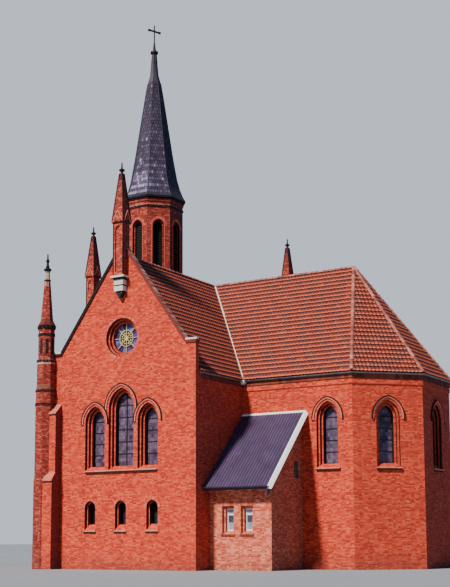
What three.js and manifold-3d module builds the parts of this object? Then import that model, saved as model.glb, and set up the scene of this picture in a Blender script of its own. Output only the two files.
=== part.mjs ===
// A brick church on a cross plan: three gabled arms, a choir arm with a half-octagon apse,
// an octagonal west tower with a slate spire, and a low annex with a metal roof.
// Millimetres, +Z up. The origin is at ground level under the middle of the crossing.
// The shown gable faces -Y, the tower gable faces -X and the choir runs to +X.

import * as THREE from 'three';
import { mergeVertices } from 'three/addons/utils/BufferGeometryUtils.js';
import Module from 'manifold-3d';

const wasm = await Module();
wasm.setup();

// Driving dimensions of the arms
const HALF_WIDTH = 4800;
const FRONT = 9535;
const NORTH = 9535;
const WEST = 9410;
const APSE_CENTRE = 9500;
const CHOIR_JOINT = 11100;
const WALL = 800;
const CLEAR = 0.3;

// Roof: top surface height is RIDGE less PITCH times the distance from the ridge
const RIDGE = 17135;
const PITCH = 1.383;
const EAVE_OVERHANG = 80;
const ROOF_RISE = 400;
const ROOF_EDGE = HALF_WIDTH + EAVE_OVERHANG;
const PARAPET = 300;
const CORNICE_OUT = 50;
const CORNICE_LOW = 9650;
const CORNICE_TOP = 9950;

// Gable tops
const COPING_BED = 17636;
const SHOULDER = 11840;
const COPING_RISE = 290;
const COPING_OUT = 60;
const KNEELER_RISE = 200;
const SHOULDER_X = (COPING_BED - SHOULDER) / PITCH;

// Windows: stepped brick orders, each one half a brick wide and deep
const STEP_OUT = 120;
const STEP_IN = 155;
const ARCH_SPREAD = 250;
const GLASS_DEPTH = 560;
const GLASS = 30;
const SILL_FRONT = 5300;
const SILL_BACK = 5540;
const SILL_FOOT = 5180;
const SILL_OUT = 80;
const CENTRE_LANCET = { x: 0, half: 840, spring: 8715 };
const SIDE_LANCET = { x: 1770, half: 670, spring: 7975 };
const ROSE = { z: 12540, radius: 1065 };
const ROSE_GLASS = 820;
const SMALL_WINDOW = { x: 2060, half: 365, spring: 3290, sill: 2070, back: 2410 };
const HOOD = 110;
const HOOD_OUT = 60;
const HOOD_GAP = 120;
const HOOD_FOOT = 100;

// Door in the tower gable
const DOOR_HALF = 1000;
const DOOR_SPRING = 2750;
const DOOR_DEPTH = 400;
const DOOR_LEAF = 80;

// Tower
const TOWER_X = -8650;
const TOWER_Y = 5740;
const TOWER_IN_RADIUS = 1945;
const TOWER_WALL = 450;
const BELFRY_FLOOR = 19700;
const CORNICE_FOOT = 24480;
const BELFRY_TOP = 25185;
const BELFRY_SILL = 19950;
const BELFRY_SPRING = 23150;
const BELFRY_SPREAD = 80;
const BELFRY_ORDERS = [[410, STEP_IN], [310, TOWER_WALL + 300]];

// Annex, in the same axes
const ANNEX_EAST = 8480;
const ANNEX_FRONT = 1355 - FRONT;
const ANNEX_EAVE_Y = 695 - FRONT;
const ANNEX_EAVE_Z = 4280;
const ANNEX_PITCH = 1.012;
const ANNEX_WALL = 400;
const ANNEX_ROOF_RISE = 180;
const ANNEX_VERGE = 8580;
const ANNEX_WINDOW_HALF = 360;
const ANNEX_WINDOW_X = [5910, 7040];
const ANNEX_SILL = 1850;
const ANNEX_SILL_BACK = 2020;
const ANNEX_HEAD = 3180;
const ANNEX_TRANSOM = 2860;
const SIDE_WINDOW = { y: -5350, half: 350, low: 4800, high: 5700, transom: 5430 };

const FLOOR_TOP = 300;
const OCTAGON = Math.tan(Math.PI / 8);

const material = (color, roughness, metalness = 0) =>
  new THREE.MeshStandardMaterial({ color, roughness, metalness });
const BRICK = material(0xb0523f, 0.9);
const DARK_BRICK = material(0x7a3a30, 0.9);
const TILE = material(0x9a4a38, 0.85);
const STONE = material(0xd8d2c4, 0.8);
const SLATE = material(0x5d5a6e, 0.6);
const LEAD = material(0x8a9098, 0.5, 0.4);
const IRON = material(0x24262a, 0.5, 0.6);
const METAL_ROOF = material(0x6d5f74, 0.45, 0.5);
const WHITE_PAINT = material(0xd9d5dc, 0.5);
const GLAZING = material(0x5b4a6b, 0.2);
const OAK = material(0x5a3a24, 0.7);
const FLOORING = material(0x9b9488, 0.8);

// Solids: a closed three.js geometry becomes a solid that can be joined and cut
function solid(geometry) {
  const plain = geometry.index ? geometry.toNonIndexed() : geometry.clone();
  plain.deleteAttribute('normal');
  plain.deleteAttribute('uv');
  const merged = mergeVertices(plain, 1e-3);
  const vertProperties = new Float32Array(merged.attributes.position.array);
  const triVerts = new Uint32Array(merged.index.array);
  return new wasm.Manifold(new wasm.Mesh({ numProp: 3, vertProperties, triVerts }));
}

function geometryOf(body) {
  const mesh = body.getMesh();
  const geometry = new THREE.BufferGeometry();
  geometry.setAttribute('position', new THREE.BufferAttribute(new Float32Array(mesh.vertProperties), 3));
  geometry.setIndex(new THREE.BufferAttribute(new Uint32Array(mesh.triVerts), 1));
  geometry.computeVertexNormals();
  return geometry;
}

const join = (...bodies) => bodies.reduce((all, next) => all.add(next));
const cut = (body, ...tools) => tools.reduce((left, tool) => left.subtract(tool), body);

function shapeOf(points) {
  return new THREE.Shape(points.map(([a, b]) => new THREE.Vector2(a, b)));
}

// An outline in plan, from height low to height high
function prismZ(points, low, high) {
  const geometry = new THREE.ExtrudeGeometry(shapeOf(points), { depth: high - low, bevelEnabled: false });
  return solid(geometry.translate(0, 0, low));
}

// An outline of x and z, from y near to y far
function prismY(points, near, far) {
  const geometry = new THREE.ExtrudeGeometry(shapeOf(points), { depth: far - near, bevelEnabled: false });
  return solid(geometry.rotateX(Math.PI / 2).translate(0, far, 0));
}

// An outline of y and z, from x near to x far
function prismX(points, near, far) {
  const geometry = new THREE.ExtrudeGeometry(shapeOf(points), { depth: far - near, bevelEnabled: false });
  const turn = new THREE.Matrix4().set(0, 0, 1, near, 1, 0, 0, 0, 0, 1, 0, 0, 0, 0, 0, 1);
  return solid(geometry.applyMatrix4(turn));
}

// A slab over an outline in plan, with a sloping top z = height + slopeX x + slopeY y
function slopingSlab(points, height, slopeX, slopeY, rise) {
  const geometry = new THREE.ExtrudeGeometry(shapeOf(points), { depth: rise, bevelEnabled: false });
  const shear = new THREE.Matrix4().set(1, 0, 0, 0, 0, 1, 0, 0, slopeX, slopeY, 1, height - rise, 0, 0, 0, 1);
  return solid(geometry.applyMatrix4(shear));
}

// Eight-sided turned form, faces square to the axes; radii are to the faces, from the foot up
function octagonForm(profile) {
  const toCorner = 1 / Math.cos(Math.PI / 8);
  const points = profile.map(([radius, z]) => new THREE.Vector2(radius * toCorner, z));
  const geometry = new THREE.LatheGeometry(points, 8, Math.PI / 8);
  return solid(geometry.rotateX(Math.PI / 2));
}

function roundForm(profile, sides = 12) {
  const points = profile.map(([radius, z]) => new THREE.Vector2(radius, z));
  return solid(new THREE.LatheGeometry(points, sides).rotateX(Math.PI / 2));
}

const box = (x0, x1, y0, y1, z0, z1) =>
  solid(new THREE.BoxGeometry(x1 - x0, y1 - y0, z1 - z0).translate((x0 + x1) / 2, (y0 + y1) / 2, (z0 + z1) / 2));

const model = new THREE.Group();

function addPiece(name, body, finish, parent = model) {
  const mesh = new THREE.Mesh(geometryOf(body), finish);
  mesh.name = name;
  parent.add(mesh);
  return mesh;
}

// Outlines

function octagonPlan(centreX, centreY, inRadius) {
  const side = inRadius * OCTAGON;
  const corners = [[inRadius, -side], [inRadius, side], [side, inRadius], [-side, inRadius]];
  const others = [[-inRadius, side], [-inRadius, -side], [-side, -inRadius], [side, -inRadius]];
  return [...corners, ...others].map(([x, y]) => [centreX + x, centreY + y]);
}

// A pointed opening: straight jambs and two arcs struck from points beyond the middle
function pointedOutline(x, half, foot, spring, spread = ARCH_SPREAD, steps = 5) {
  const radius = half + spread;
  const apexAngle = Math.acos(spread / radius);
  const right = [];
  for (let i = 0; i <= steps; i += 1) {
    const angle = (apexAngle * i) / steps;
    right.push([radius * Math.cos(angle) - spread, spring + radius * Math.sin(angle)]);
  }
  const left = right.slice(0, -1).reverse().map(([a, z]) => [-a, z]);
  const outline = [[half, foot], ...right, ...left, [-half, foot]];
  return outline.map(([a, z]) => [x + a, z]);
}

function circleOutline(x, z, radius, steps = 20) {
  return Array.from({ length: steps }, (_, i) => {
    const angle = (2 * Math.PI * i) / steps;
    return [x + radius * Math.cos(angle), z + radius * Math.sin(angle)];
  });
}

// Cutters for a wall whose outer face is the plane y = 0 and whose inside is +y

const OUTSIDE = -400;
const THROUGH = WALL + 200;

function lancetCutter({ x, half, spring }) {
  const orders = [
    [half, STEP_IN],
    [half - STEP_OUT, 2 * STEP_IN],
    [half - 2 * STEP_OUT, THROUGH],
  ];
  return join(...orders.map(([width, depth]) =>
    prismY(pointedOutline(x, width, SILL_FRONT, spring), OUTSIDE, depth)));
}

// The weathered sill that fills the foot of an opening, with a thin ledge out of the wall
function weatheredSill(x, half, front, back, depth) {
  const flat = 2 * STEP_IN - 20;
  const slope = [[0, front - 100], [depth, front - 100], [depth, back], [flat, back], [0, front]];
  return prismX(slope, x - half, x + half);
}

const lancetSill = ({ x, half }) => weatheredSill(x, half, SILL_FRONT, SILL_BACK, WALL);

function hoodMould({ x, half, spring }) {
  const outer = pointedOutline(x, half + HOOD_GAP + HOOD, spring - HOOD_FOOT, spring);
  const inner = pointedOutline(x, half + HOOD_GAP, spring - HOOD_FOOT - 50, spring);
  const ring = cut(prismY(outer, -HOOD_OUT, 60), prismY(inner, -HOOD_OUT - 20, 80));
  return ring;
}

function smallWindowCutter(x) {
  const { half, spring, sill } = SMALL_WINDOW;
  return prismY(pointedOutline(x, half, sill, spring, 30), OUTSIDE, THROUGH);
}

const smallWindowSill = (x) =>
  weatheredSill(x, SMALL_WINDOW.half, SMALL_WINDOW.sill, SMALL_WINDOW.back, WALL);

function roseCutter() {
  const orders = [
    [ROSE.radius, STEP_IN],
    [ROSE.radius - STEP_OUT, 2 * STEP_IN],
    [ROSE_GLASS, THROUGH],
  ];
  return join(...orders.map(([radius, depth]) => prismY(circleOutline(0, ROSE.z, radius), OUTSIDE, depth)));
}

function doorCutter() {
  const orders = [
    [DOOR_HALF + 2 * STEP_OUT, STEP_IN],
    [DOOR_HALF + STEP_OUT, 2 * STEP_IN],
    [DOOR_HALF, THROUGH],
  ];
  return join(...orders.map(([half, depth]) =>
    prismY(pointedOutline(0, half, FLOOR_TOP, DOOR_SPRING), OUTSIDE, depth)));
}

// Gabled end, in its own axes: outer face y = 0, inside +y

function gableTop(bed) {
  const shoulder = (bed - SHOULDER) / PITCH;
  return [[shoulder, SHOULDER], [0, bed], [-shoulder, SHOULDER]];
}

function gableMass() {
  const front = [[-HALF_WIDTH, 0], [HALF_WIDTH, 0], [HALF_WIDTH, SHOULDER], ...gableTop(COPING_BED),
    [-HALF_WIDTH, SHOULDER]];
  const under = RIDGE - ROOF_RISE - 2 * CLEAR;
  const edge = under - PITCH * HALF_WIDTH;
  const back = [[-HALF_WIDTH, 0], [HALF_WIDTH, 0], [HALF_WIDTH, edge], [0, under], [-HALF_WIDTH, edge]];
  return join(prismY(front, 0, PARAPET), prismY(back, PARAPET / 2, WALL));
}

function gableGlassOutline(withDoor) {
  const side = SIDE_LANCET.x + SIDE_LANCET.half - 2 * STEP_OUT + 60;
  const top = SIDE_LANCET.spring + SIDE_LANCET.half + 400;
  const roseTop = ROSE.z + ROSE_GLASS + 60;
  const neck = ROSE_GLASS + 60;
  const foot = SILL_BACK - 60;
  const upper = [[side, foot], [side, top], [neck, top + 900], [neck, roseTop], [-neck, roseTop],
    [-neck, top + 900], [-side, top], [-side, foot]];
  if (withDoor) return upper;
  const low = SMALL_WINDOW.back - 60;
  const wide = SMALL_WINDOW.x + SMALL_WINDOW.half + 60;
  return [[-wide, low], [wide, low], ...upper.slice(1, -1), [-side, foot - 900], [-wide, foot - 1400]];
}

function grownPrismY(points, near, far, grow) {
  const xs = points.map(([x]) => x);
  const zs = points.map(([, z]) => z);
  const middleX = (Math.min(...xs) + Math.max(...xs)) / 2;
  const middleZ = (Math.min(...zs) + Math.max(...zs)) / 2;
  const spanX = Math.max(...xs) - middleX;
  const spanZ = Math.max(...zs) - middleZ;
  const grown = points.map(([x, z]) => [
    middleX + (x - middleX) * (1 + grow / spanX),
    middleZ + (z - middleZ) * (1 + grow / spanZ),
  ]);
  return prismY(grown, near, far);
}

function gablePieces({ withDoor = false, hole = null } = {}) {
  const trim = (body) => (hole ? cut(body, hole) : body);
  const centre = CENTRE_LANCET;
  const sides = [-1, 1].map((sign) => ({ ...SIDE_LANCET, x: sign * SIDE_LANCET.x }));
  const outline = gableGlassOutline(withDoor);
  const slot = grownPrismY(outline, GLASS_DEPTH - CLEAR, GLASS_DEPTH + GLASS + CLEAR, 2);
  const sillHalf = SIDE_LANCET.x + SIDE_LANCET.half - 60;
  const ledge = box(-sillHalf, sillHalf, -SILL_OUT, 50, SILL_FOOT, SILL_FRONT);
  const hoods = [centre, ...sides].map(hoodMould);
  const smallX = withDoor ? [] : [-1, 0, 1].map((sign) => sign * SMALL_WINDOW.x);
  const low = withDoor ? [doorCutter()] : smallX.map(smallWindowCutter);
  const openings = [centre, ...sides].map(lancetCutter);
  const sills = [...[centre, ...sides].map(lancetSill), ...smallX.map(smallWindowSill)];
  const pierced = cut(join(gableMass(), ledge, ...hoods), ...openings, roseCutter(), ...low);
  const wall = cut(join(pierced, ...sills), slot);
  const glass = prismY(outline, GLASS_DEPTH, GLASS_DEPTH + GLASS);
  return { wall: trim(wall), glass: trim(glass), coping: trim(coping()) };
}

// Coping over the two rakes, with a flat kneeler on each shoulder, cleft for the pinnacle shaft
function coping() {
  const end = HALF_WIDTH + COPING_OUT;
  const kneelerTop = SHOULDER + KNEELER_RISE;
  const meet = (COPING_BED + COPING_RISE - kneelerTop) / PITCH;
  const bed = COPING_BED + 2 * CLEAR;
  const bedEnd = (bed - SHOULDER - 2 * CLEAR) / PITCH;
  const low = SHOULDER + 2 * CLEAR;
  const outline = [[end, low], [end, kneelerTop], [meet, kneelerTop], [0, COPING_BED + COPING_RISE],
    [-meet, kneelerTop], [-end, kneelerTop], [-end, low], [-bedEnd, low], [0, bed], [bedEnd, low]];
  const cleft = box(-PINNACLE_HALF - CLEAR, PINNACLE_HALF + CLEAR, -1000, PINNACLE_BACK + CLEAR, 10000, 20000);
  return cut(prismY(outline, -COPING_OUT, PARAPET), cleft);
}

// Pinnacle on the gable's point, corbelled out in front of the wall
const PINNACLE_HALF = 330;
const PINNACLE_FRONT = -400;
const PINNACLE_BACK = 200;
const PINNACLE_FOOT = 15890;
const PINNACLE_EAVE = 18950;
const PINNACLE_TOP = 21720;

function pinnacle() {
  const middle = (PINNACLE_FRONT + PINNACLE_BACK) / 2;
  const deep = (PINNACLE_BACK - PINNACLE_FRONT) / 2;
  const shaft = box(-PINNACLE_HALF, PINNACLE_HALF, PINNACLE_FRONT, PINNACLE_BACK, PINNACLE_FOOT, PINNACLE_EAVE);
  const niche = prismY(pointedOutline(0, 200, PINNACLE_FOOT + 250, PINNACLE_EAVE - 500, 60),
    PINNACLE_FRONT - 100, PINNACLE_FRONT + 70);
  const sideNiche = (sign) => {
    const outline = pointedOutline(middle, 150, PINNACLE_FOOT + 2100, PINNACLE_EAVE - 500, 60);
    const near = sign > 0 ? PINNACLE_HALF - 60 : -PINNACLE_HALF - 100;
    return prismX(outline, near, near + 160);
  };
  const spireBase = Math.SQRT2;
  const profile = [[0, PINNACLE_EAVE - 60], [400, PINNACLE_EAVE - 60], [380, PINNACLE_EAVE + 40],
    [95, PINNACLE_TOP], [0, PINNACLE_TOP]];
  const points = profile.map(([half, z]) => new THREE.Vector2(half * spireBase, z));
  const spire = solid(new THREE.LatheGeometry(points, 4, Math.PI / 4).rotateX(Math.PI / 2)
    .scale(1, deep / PINNACLE_HALF + 0.06, 1).translate(0, middle, 0));
  const gablet = [[-340, PINNACLE_EAVE - 80], [340, PINNACLE_EAVE - 80], [0, PINNACLE_EAVE + 560]];
  const frontGablet = prismY(gablet, PINNACLE_FRONT - 60, PINNACLE_BACK + 60);
  const sideGablet = prismX(gablet.map(([a, z]) => [middle + a * 0.9, z]), -PINNACLE_HALF - 60, PINNACLE_HALF + 60);
  // The shaft's foot passes in front of the wall; behind the face it sits on the wall's point
  const behind = prismY([[-2000, 0], [2000, 0], [2000, COPING_BED + 2 * CLEAR - PITCH * 2000],
    [0, COPING_BED + 2 * CLEAR], [-2000, COPING_BED + 2 * CLEAR - PITCH * 2000]], -CLEAR, 2000);
  const whole = cut(join(shaft, spire, frontGablet, sideGablet), niche, sideNiche(1), sideNiche(-1), behind);
  return join(whole, pinnacleFinial());
}

// Stone corbel: slab with a neck under it, two blocks with a joint between and a tapering foot
function corbel() {
  const top = PINNACLE_FOOT - CLEAR;
  const slab = box(-450, 450, -500, -CLEAR, top - 110, top);
  const neck = box(-330, 330, -380, -CLEAR, top - 240, top - 100);
  const upper = box(-300, 300, -350, -CLEAR, top - 500, top - 230);
  const joint = box(-250, 250, -300, -CLEAR, top - 570, top - 490);
  const lower = box(-300, 300, -350, -CLEAR, top - 850, top - 560);
  const foot = prismY([[-250, top - 840], [-60, top - 1190], [60, top - 1190], [250, top - 840]], -280, -CLEAR);
  return join(slab, neck, upper, joint, lower, foot);
}

function pinnacleFinial() {
  const middle = (PINNACLE_FRONT + PINNACLE_BACK) / 2;
  const low = PINNACLE_TOP;
  const profile = [[0, low - 50], [90, low - 50], [90, low], [70, low + 100], [170, low + 150], [170, low + 220],
    [60, low + 270], [50, low + 320], [38, low + 620], [0, low + 620]];
  return roundForm(profile, 10).translate([0, middle, 0]);
}

function addGable(name, options, place) {
  const group = new THREE.Group();
  const pieces = gablePieces(options);
  addPiece(`${name}_gable_wall`, pieces.wall, BRICK, group);
  addPiece(`${name}_gable_glazing`, pieces.glass, GLAZING, group);
  addPiece(`${name}_gable_coping`, pieces.coping, DARK_BRICK, group);
  addPiece(`${name}_pinnacle`, pinnacle(), BRICK, group);
  addPiece(`${name}_pinnacle_corbel`, corbel(), STONE, group);
  place(group);
  model.add(group);
}

// The tower's footprint, a little grown, taken out of what it stands against
const towerHole = prismZ(octagonPlan(TOWER_X, TOWER_Y, TOWER_IN_RADIUS + CLEAR), -100, 30000);
const towerHoleAtWestGable = prismZ(octagonPlan(-TOWER_Y, TOWER_X + WEST, TOWER_IN_RADIUS + CLEAR), -100, 30000);

addGable('front', {}, (group) => group.position.set(0, -FRONT, 0));
addGable('north', {}, (group) => {
  group.rotation.z = Math.PI;
  group.position.set(0, NORTH, 0);
});
addGable('west', { withDoor: true, hole: towerHoleAtWestGable }, (group) => {
  group.rotation.z = -Math.PI / 2;
  group.position.set(-WEST, 0, 0);
  const outline = pointedOutline(0, DOOR_HALF - CLEAR, FLOOR_TOP + CLEAR, DOOR_SPRING);
  const leaves = prismY(outline, DOOR_DEPTH, DOOR_DEPTH + DOOR_LEAF);
  const meeting = box(-8, 8, DOOR_DEPTH - 100, DOOR_DEPTH + 20, 0, 6000);
  addPiece('west_door', cut(leaves, meeting), OAK, group);
});

// Side walls, an L at each inner corner, each leg with a top that fits under its roof slope

const legSection = () => {
  const under = RIDGE - ROOF_RISE - 2 * CLEAR;
  const inner = HALF_WIDTH - WALL;
  const out = HALF_WIDTH + CORNICE_OUT;
  return [[inner, 0], [HALF_WIDTH, 0], [HALF_WIDTH, CORNICE_LOW], [out, CORNICE_LOW + CORNICE_OUT],
    [out, CORNICE_TOP], [HALF_WIDTH, CORNICE_TOP], [HALF_WIDTH, under - PITCH * HALF_WIDTH],
    [inner, under - PITCH * inner]];
};

// signX and signY say which corner; armY and armX are where the legs end, away from the crossing
function cornerWall(signX, signY, armX, armY) {
  const inner = HALF_WIDTH - WALL;
  const flip = (points, sign) => (sign > 0 ? points : points.map(([a, z]) => [-a, z]).reverse());
  const span = (sign, end) => (sign > 0 ? [inner, end] : [-end, -inner]);
  const alongY = prismY(flip(legSection(), signX), ...span(signY, armY));
  const alongX = prismX(flip(legSection(), signY), ...span(signX, armX));
  return join(alongY, alongX);
}

// A bent strip at the glass's depth inside an L wall
function cornerStrip(signX, signY, reachX, reachY, low, high, grow) {
  const outer = HALF_WIDTH - GLASS_DEPTH + grow;
  const inner = HALF_WIDTH - GLASS_DEPTH - GLASS - grow;
  const endX = reachX + grow;
  const endY = reachY + grow;
  const plan = [[inner, inner], [inner, endY], [outer, endY], [outer, outer], [endX, outer], [endX, inner]];
  const signed = plan.map(([x, y]) => [signX * x, signY * y]);
  const ordered = signX * signY > 0 ? signed.reverse() : signed;
  return prismZ(ordered, low - grow, high + grow);
}

// Places a cutter made for a wall facing -y on a wall that faces the given way
function onWall(body, facing, along) {
  const turns = { south: 0, east: 90, north: 180, west: -90 };
  const places = {
    south: [along, -HALF_WIDTH, 0],
    north: [along, HALF_WIDTH, 0],
    east: [HALF_WIDTH, along, 0],
    west: [-HALF_WIDTH, along, 0],
  };
  return body.rotate([0, 0, turns[facing]]).translate(places[facing]);
}

const single = { x: 0, half: SIDE_LANCET.half, spring: SIDE_LANCET.spring };
const STRIP_LOW = SILL_BACK - 60;
const STRIP_TOP = SIDE_LANCET.spring + SIDE_LANCET.half + 100;
const ARM_MIDDLE = -6630;
const CHOIR_WINDOW_NEAR = 6500;
const CHOIR_WINDOW_FAR = 10050;

const corners = [
  { name: 'south_west', sign: [-1, -1], arms: [WEST - WALL - CLEAR, FRONT - WALL - CLEAR],
    windows: [['west', ARM_MIDDLE], ['south', ARM_MIDDLE]], reach: [7500, 7500] },
  { name: 'south_east', sign: [1, -1], arms: [CHOIR_JOINT - CLEAR, FRONT - WALL - CLEAR],
    windows: [['south', CHOIR_WINDOW_FAR]], reach: [10900, 5200] },
  { name: 'north_east', sign: [1, 1], arms: [CHOIR_JOINT - CLEAR, NORTH - WALL - CLEAR],
    windows: [['east', -ARM_MIDDLE], ['north', CHOIR_WINDOW_NEAR], ['north', CHOIR_WINDOW_FAR]],
    reach: [10900, 7500] },
  { name: 'north_west', sign: [-1, 1], arms: [WEST - WALL - CLEAR, NORTH - WALL - CLEAR],
    windows: [['west', -ARM_MIDDLE]], reach: [5200, 7500] },
];

for (const { name, sign, arms, windows, reach } of corners) {
  const cutters = windows.map(([facing, along]) => onWall(lancetCutter(single), facing, along));
  const hoods = windows.map(([facing, along]) => onWall(hoodMould(single), facing, along));
  const sills = windows.map(([facing, along]) =>
    onWall(box(-700, 700, -SILL_OUT, 50, SILL_FOOT, SILL_FRONT), facing, along));
  const slot = cornerStrip(...sign, ...reach, STRIP_LOW, STRIP_TOP, CLEAR);
  const strip = cornerStrip(...sign, ...reach, STRIP_LOW, STRIP_TOP, 0);
  const beds = windows.map(([facing, along]) => onWall(lancetSill(single), facing, along));
  const pierced = cut(join(cornerWall(...sign, ...arms), ...hoods, ...sills), ...cutters);
  addPiece(`${name}_walls`, cut(join(pierced, ...beds), slot, towerHole), BRICK);
  addPiece(`${name}_glazing`, strip, GLAZING);
}

// Apse: three faces of an octagon

function apsePath(inRadius, start) {
  const side = inRadius * OCTAGON;
  return [[start, -inRadius], [APSE_CENTRE + side, -inRadius], [APSE_CENTRE + inRadius, -side],
    [APSE_CENTRE + inRadius, side], [APSE_CENTRE + side, inRadius], [start, inRadius]];
}

const apseRing = (outer, inner, start, low, high) =>
  prismZ([...apsePath(outer, start), ...apsePath(inner, start).reverse()], low, high);

const apseFaces = [-45, 0, 45];
const onApse = (body, angle) => body.translate([0, -HALF_WIDTH, 0])
  .rotate([0, 0, angle + 90]).translate([APSE_CENTRE, 0, 0]);

// The leg section turned once round the apse's centre, and cut off where the choir walls end
function apseWall() {
  const ring = octagonForm([...legSection(), legSection()[0]]).translate([APSE_CENTRE, 0, 0]);
  const end = ring.intersect(box(CHOIR_JOINT, 20000, -9000, 9000, -100, 20000));
  const hoods = apseFaces.map((angle) => onApse(hoodMould(single), angle));
  const cutters = apseFaces.map((angle) => onApse(lancetCutter(single), angle));
  const beds = apseFaces.map((angle) => onApse(lancetSill(single), angle));
  const ledges = apseFaces.map((angle) => onApse(box(-700, 700, -SILL_OUT, 50, SILL_FOOT, SILL_FRONT), angle));
  const slot = apseRing(HALF_WIDTH - GLASS_DEPTH + CLEAR, HALF_WIDTH - GLASS_DEPTH - GLASS - CLEAR,
    CHOIR_JOINT + 100 - CLEAR, STRIP_LOW - CLEAR, STRIP_TOP + CLEAR);
  const pierced = cut(join(end, ...hoods, ...ledges), ...cutters);
  return cut(join(pierced, ...beds), slot);
}

addPiece('apse_wall', apseWall(), BRICK);
addPiece('apse_glazing', apseRing(HALF_WIDTH - GLASS_DEPTH, HALF_WIDTH - GLASS_DEPTH - GLASS,
  CHOIR_JOINT + 100, STRIP_LOW, STRIP_TOP), GLAZING);

// Roof slopes, each a sloping slab between ridge, valley, eave and parapet

const ROOF_START = FRONT - PARAPET - CLEAR;
const armSlope = (reach) => [[CLEAR, -reach], [ROOF_EDGE, -reach], [ROOF_EDGE, -ROOF_EDGE - CLEAR],
  [CLEAR, -2 * CLEAR]];
const choirSlope = [[CLEAR * 2, -CLEAR], [ROOF_EDGE + CLEAR, -ROOF_EDGE], [APSE_CENTRE, -ROOF_EDGE],
  [APSE_CENTRE, -CLEAR]];

function slope(points, facing, start = 0) {
  const turns = { east: [-PITCH, 0], west: [PITCH, 0], south: [0, PITCH], north: [0, -PITCH] };
  return slopingSlab(points, RIDGE + start, ...turns[facing], ROOF_RISE);
}

const mirrorX = (points) => points.map(([x, y]) => [-x, y]).reverse();
const mirrorY = (points) => points.map(([x, y]) => [x, -y]).reverse();
const swap = (points) => points.map(([x, y]) => [y, x]).reverse();
const armPlan = armSlope(ROOF_START);
const westStart = WEST - PARAPET - CLEAR;
const westPlan = swap(armSlope(westStart));

addPiece('front_roof_east_slope', slope(armPlan, 'east'), TILE);
addPiece('front_roof_west_slope', slope(mirrorX(armPlan), 'west'), TILE);
addPiece('north_roof_east_slope', slope(mirrorY(armPlan), 'east'), TILE);
addPiece('north_roof_west_slope', slope(mirrorX(mirrorY(armPlan)), 'west'), TILE);
addPiece('west_roof_north_slope', cut(slope(westPlan, 'north'), towerHole), TILE);
addPiece('west_roof_south_slope', slope(mirrorY(westPlan), 'south'), TILE);
addPiece('choir_roof_south_slope', slope(choirSlope, 'south'), TILE);
addPiece('choir_roof_north_slope', slope(mirrorY(choirSlope), 'north'), TILE);

function apseRoof() {
  const eave = RIDGE - PITCH * ROOF_EDGE;
  const shell = octagonForm([[0, RIDGE - ROOF_RISE], [ROOF_EDGE, eave - ROOF_RISE], [ROOF_EDGE, eave], [0, RIDGE]]);
  return shell.translate([APSE_CENTRE + CLEAR, 0, 0])
    .intersect(box(APSE_CENTRE + CLEAR, 20000, -9000, 9000, 5000, 20000));
}
addPiece('apse_roof', apseRoof(), TILE);

// Octagonal pier and spirelet at the front gable's left corner
const TURRET_X = -5100;
const TURRET_Y = -FRONT - 250;

function cornerTurret() {
  const profile = [[0, 0], [585, 0], [585, 4880], [545, 4980], [545, 9030], [575, 9070], [575, 9180], [530, 9230],
    [530, 9820], [575, 9860], [575, 9930], [520, 9980], [495, 10250], [490, 11450], [530, 11520], [530, 11620],
    [440, 11720], [440, 12990], [470, 13020], [470, 13140], [440, 13180], [440, 13400], [500, 13450],
    [510, 13580], [340, 13930], [165, 16200], [185, 16210], [185, 16290], [130, 16330], [125, 16780],
    [210, 16840], [210, 16930], [0, 16930]];
  const body = octagonForm(profile);
  const slots = Array.from({ length: 8 }, (_, i) =>
    box(-55, 55, -600, -300, 11980, 12840).rotate([0, 0, 45 * i]));
  return cut(body, ...slots).translate([TURRET_X, TURRET_Y, 0]);
}

const corner = cut(cornerTurret(), box(-HALF_WIDTH - CLEAR, 0, -FRONT - CLEAR, 0, -100, SHOULDER + KNEELER_RISE));
const cornerClear = cut(corner, box(-HALF_WIDTH - COPING_OUT - CLEAR, 0, -FRONT - COPING_OUT - CLEAR, 0,
  SHOULDER, SHOULDER + KNEELER_RISE + 60));
const turretFinial = roundForm([[0, 16890], [110, 16890], [110, 17070], [70, 17140], [65, 17290],
  [105, 17380], [105, 17430], [50, 17500], [35, 17800], [0, 17800]], 10);
addPiece('corner_turret', join(cornerClear, turretFinial.translate([TURRET_X, TURRET_Y, 0])), BRICK);

// Two-stage buttress beside the pier, with weathered set-offs
function buttress() {
  const wallFace = -FRONT - CLEAR;
  const upper = -FRONT - 500;
  const lower = -FRONT - 770;
  const outline = [[wallFace, 0], [lower, 0], [lower, 4890], [upper, 5250], [upper, 8620], [wallFace, 9080]];
  const mass = prismX(outline.reverse(), -4970, -4140);
  const pier = octagonForm([[0, -10], [585 + CLEAR, -10], [585 + CLEAR, 4880], [545 + CLEAR, 4980],
    [545 + CLEAR, 9030], [575 + CLEAR, 9070], [575 + CLEAR, 9300], [0, 9300]]);
  return cut(mass, pier.translate([TURRET_X, TURRET_Y, 0]));
}
addPiece('front_buttress', buttress(), BRICK);

// Tower: hollow octagonal shaft, belfry with an opening in each face, its cornice, and slate spire

const towerAt = (body) => body.translate([TOWER_X, TOWER_Y, 0]);
const inner = TOWER_IN_RADIUS - TOWER_WALL;

function hollowForm(outer, low, high) {
  const core = octagonForm([[0, low - 10], [inner, low - 10], [inner, high + 10], [0, high + 10]]);
  return cut(octagonForm([[0, low], ...outer, [0, high]]), core);
}

function towerShaft() {
  const top = BELFRY_FLOOR - CLEAR;
  const outer = [[TOWER_IN_RADIUS, 0], [TOWER_IN_RADIUS, 19300], [TOWER_IN_RADIUS + 60, 19360],
    [TOWER_IN_RADIUS + 60, top]];
  const paving = octagonForm([[0, 0], [inner + 50, 0], [inner + 50, FLOOR_TOP], [0, FLOOR_TOP]]);
  return join(hollowForm(outer, 0, top), paving);
}
addPiece('tower_shaft', towerAt(towerShaft()), BRICK);

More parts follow.
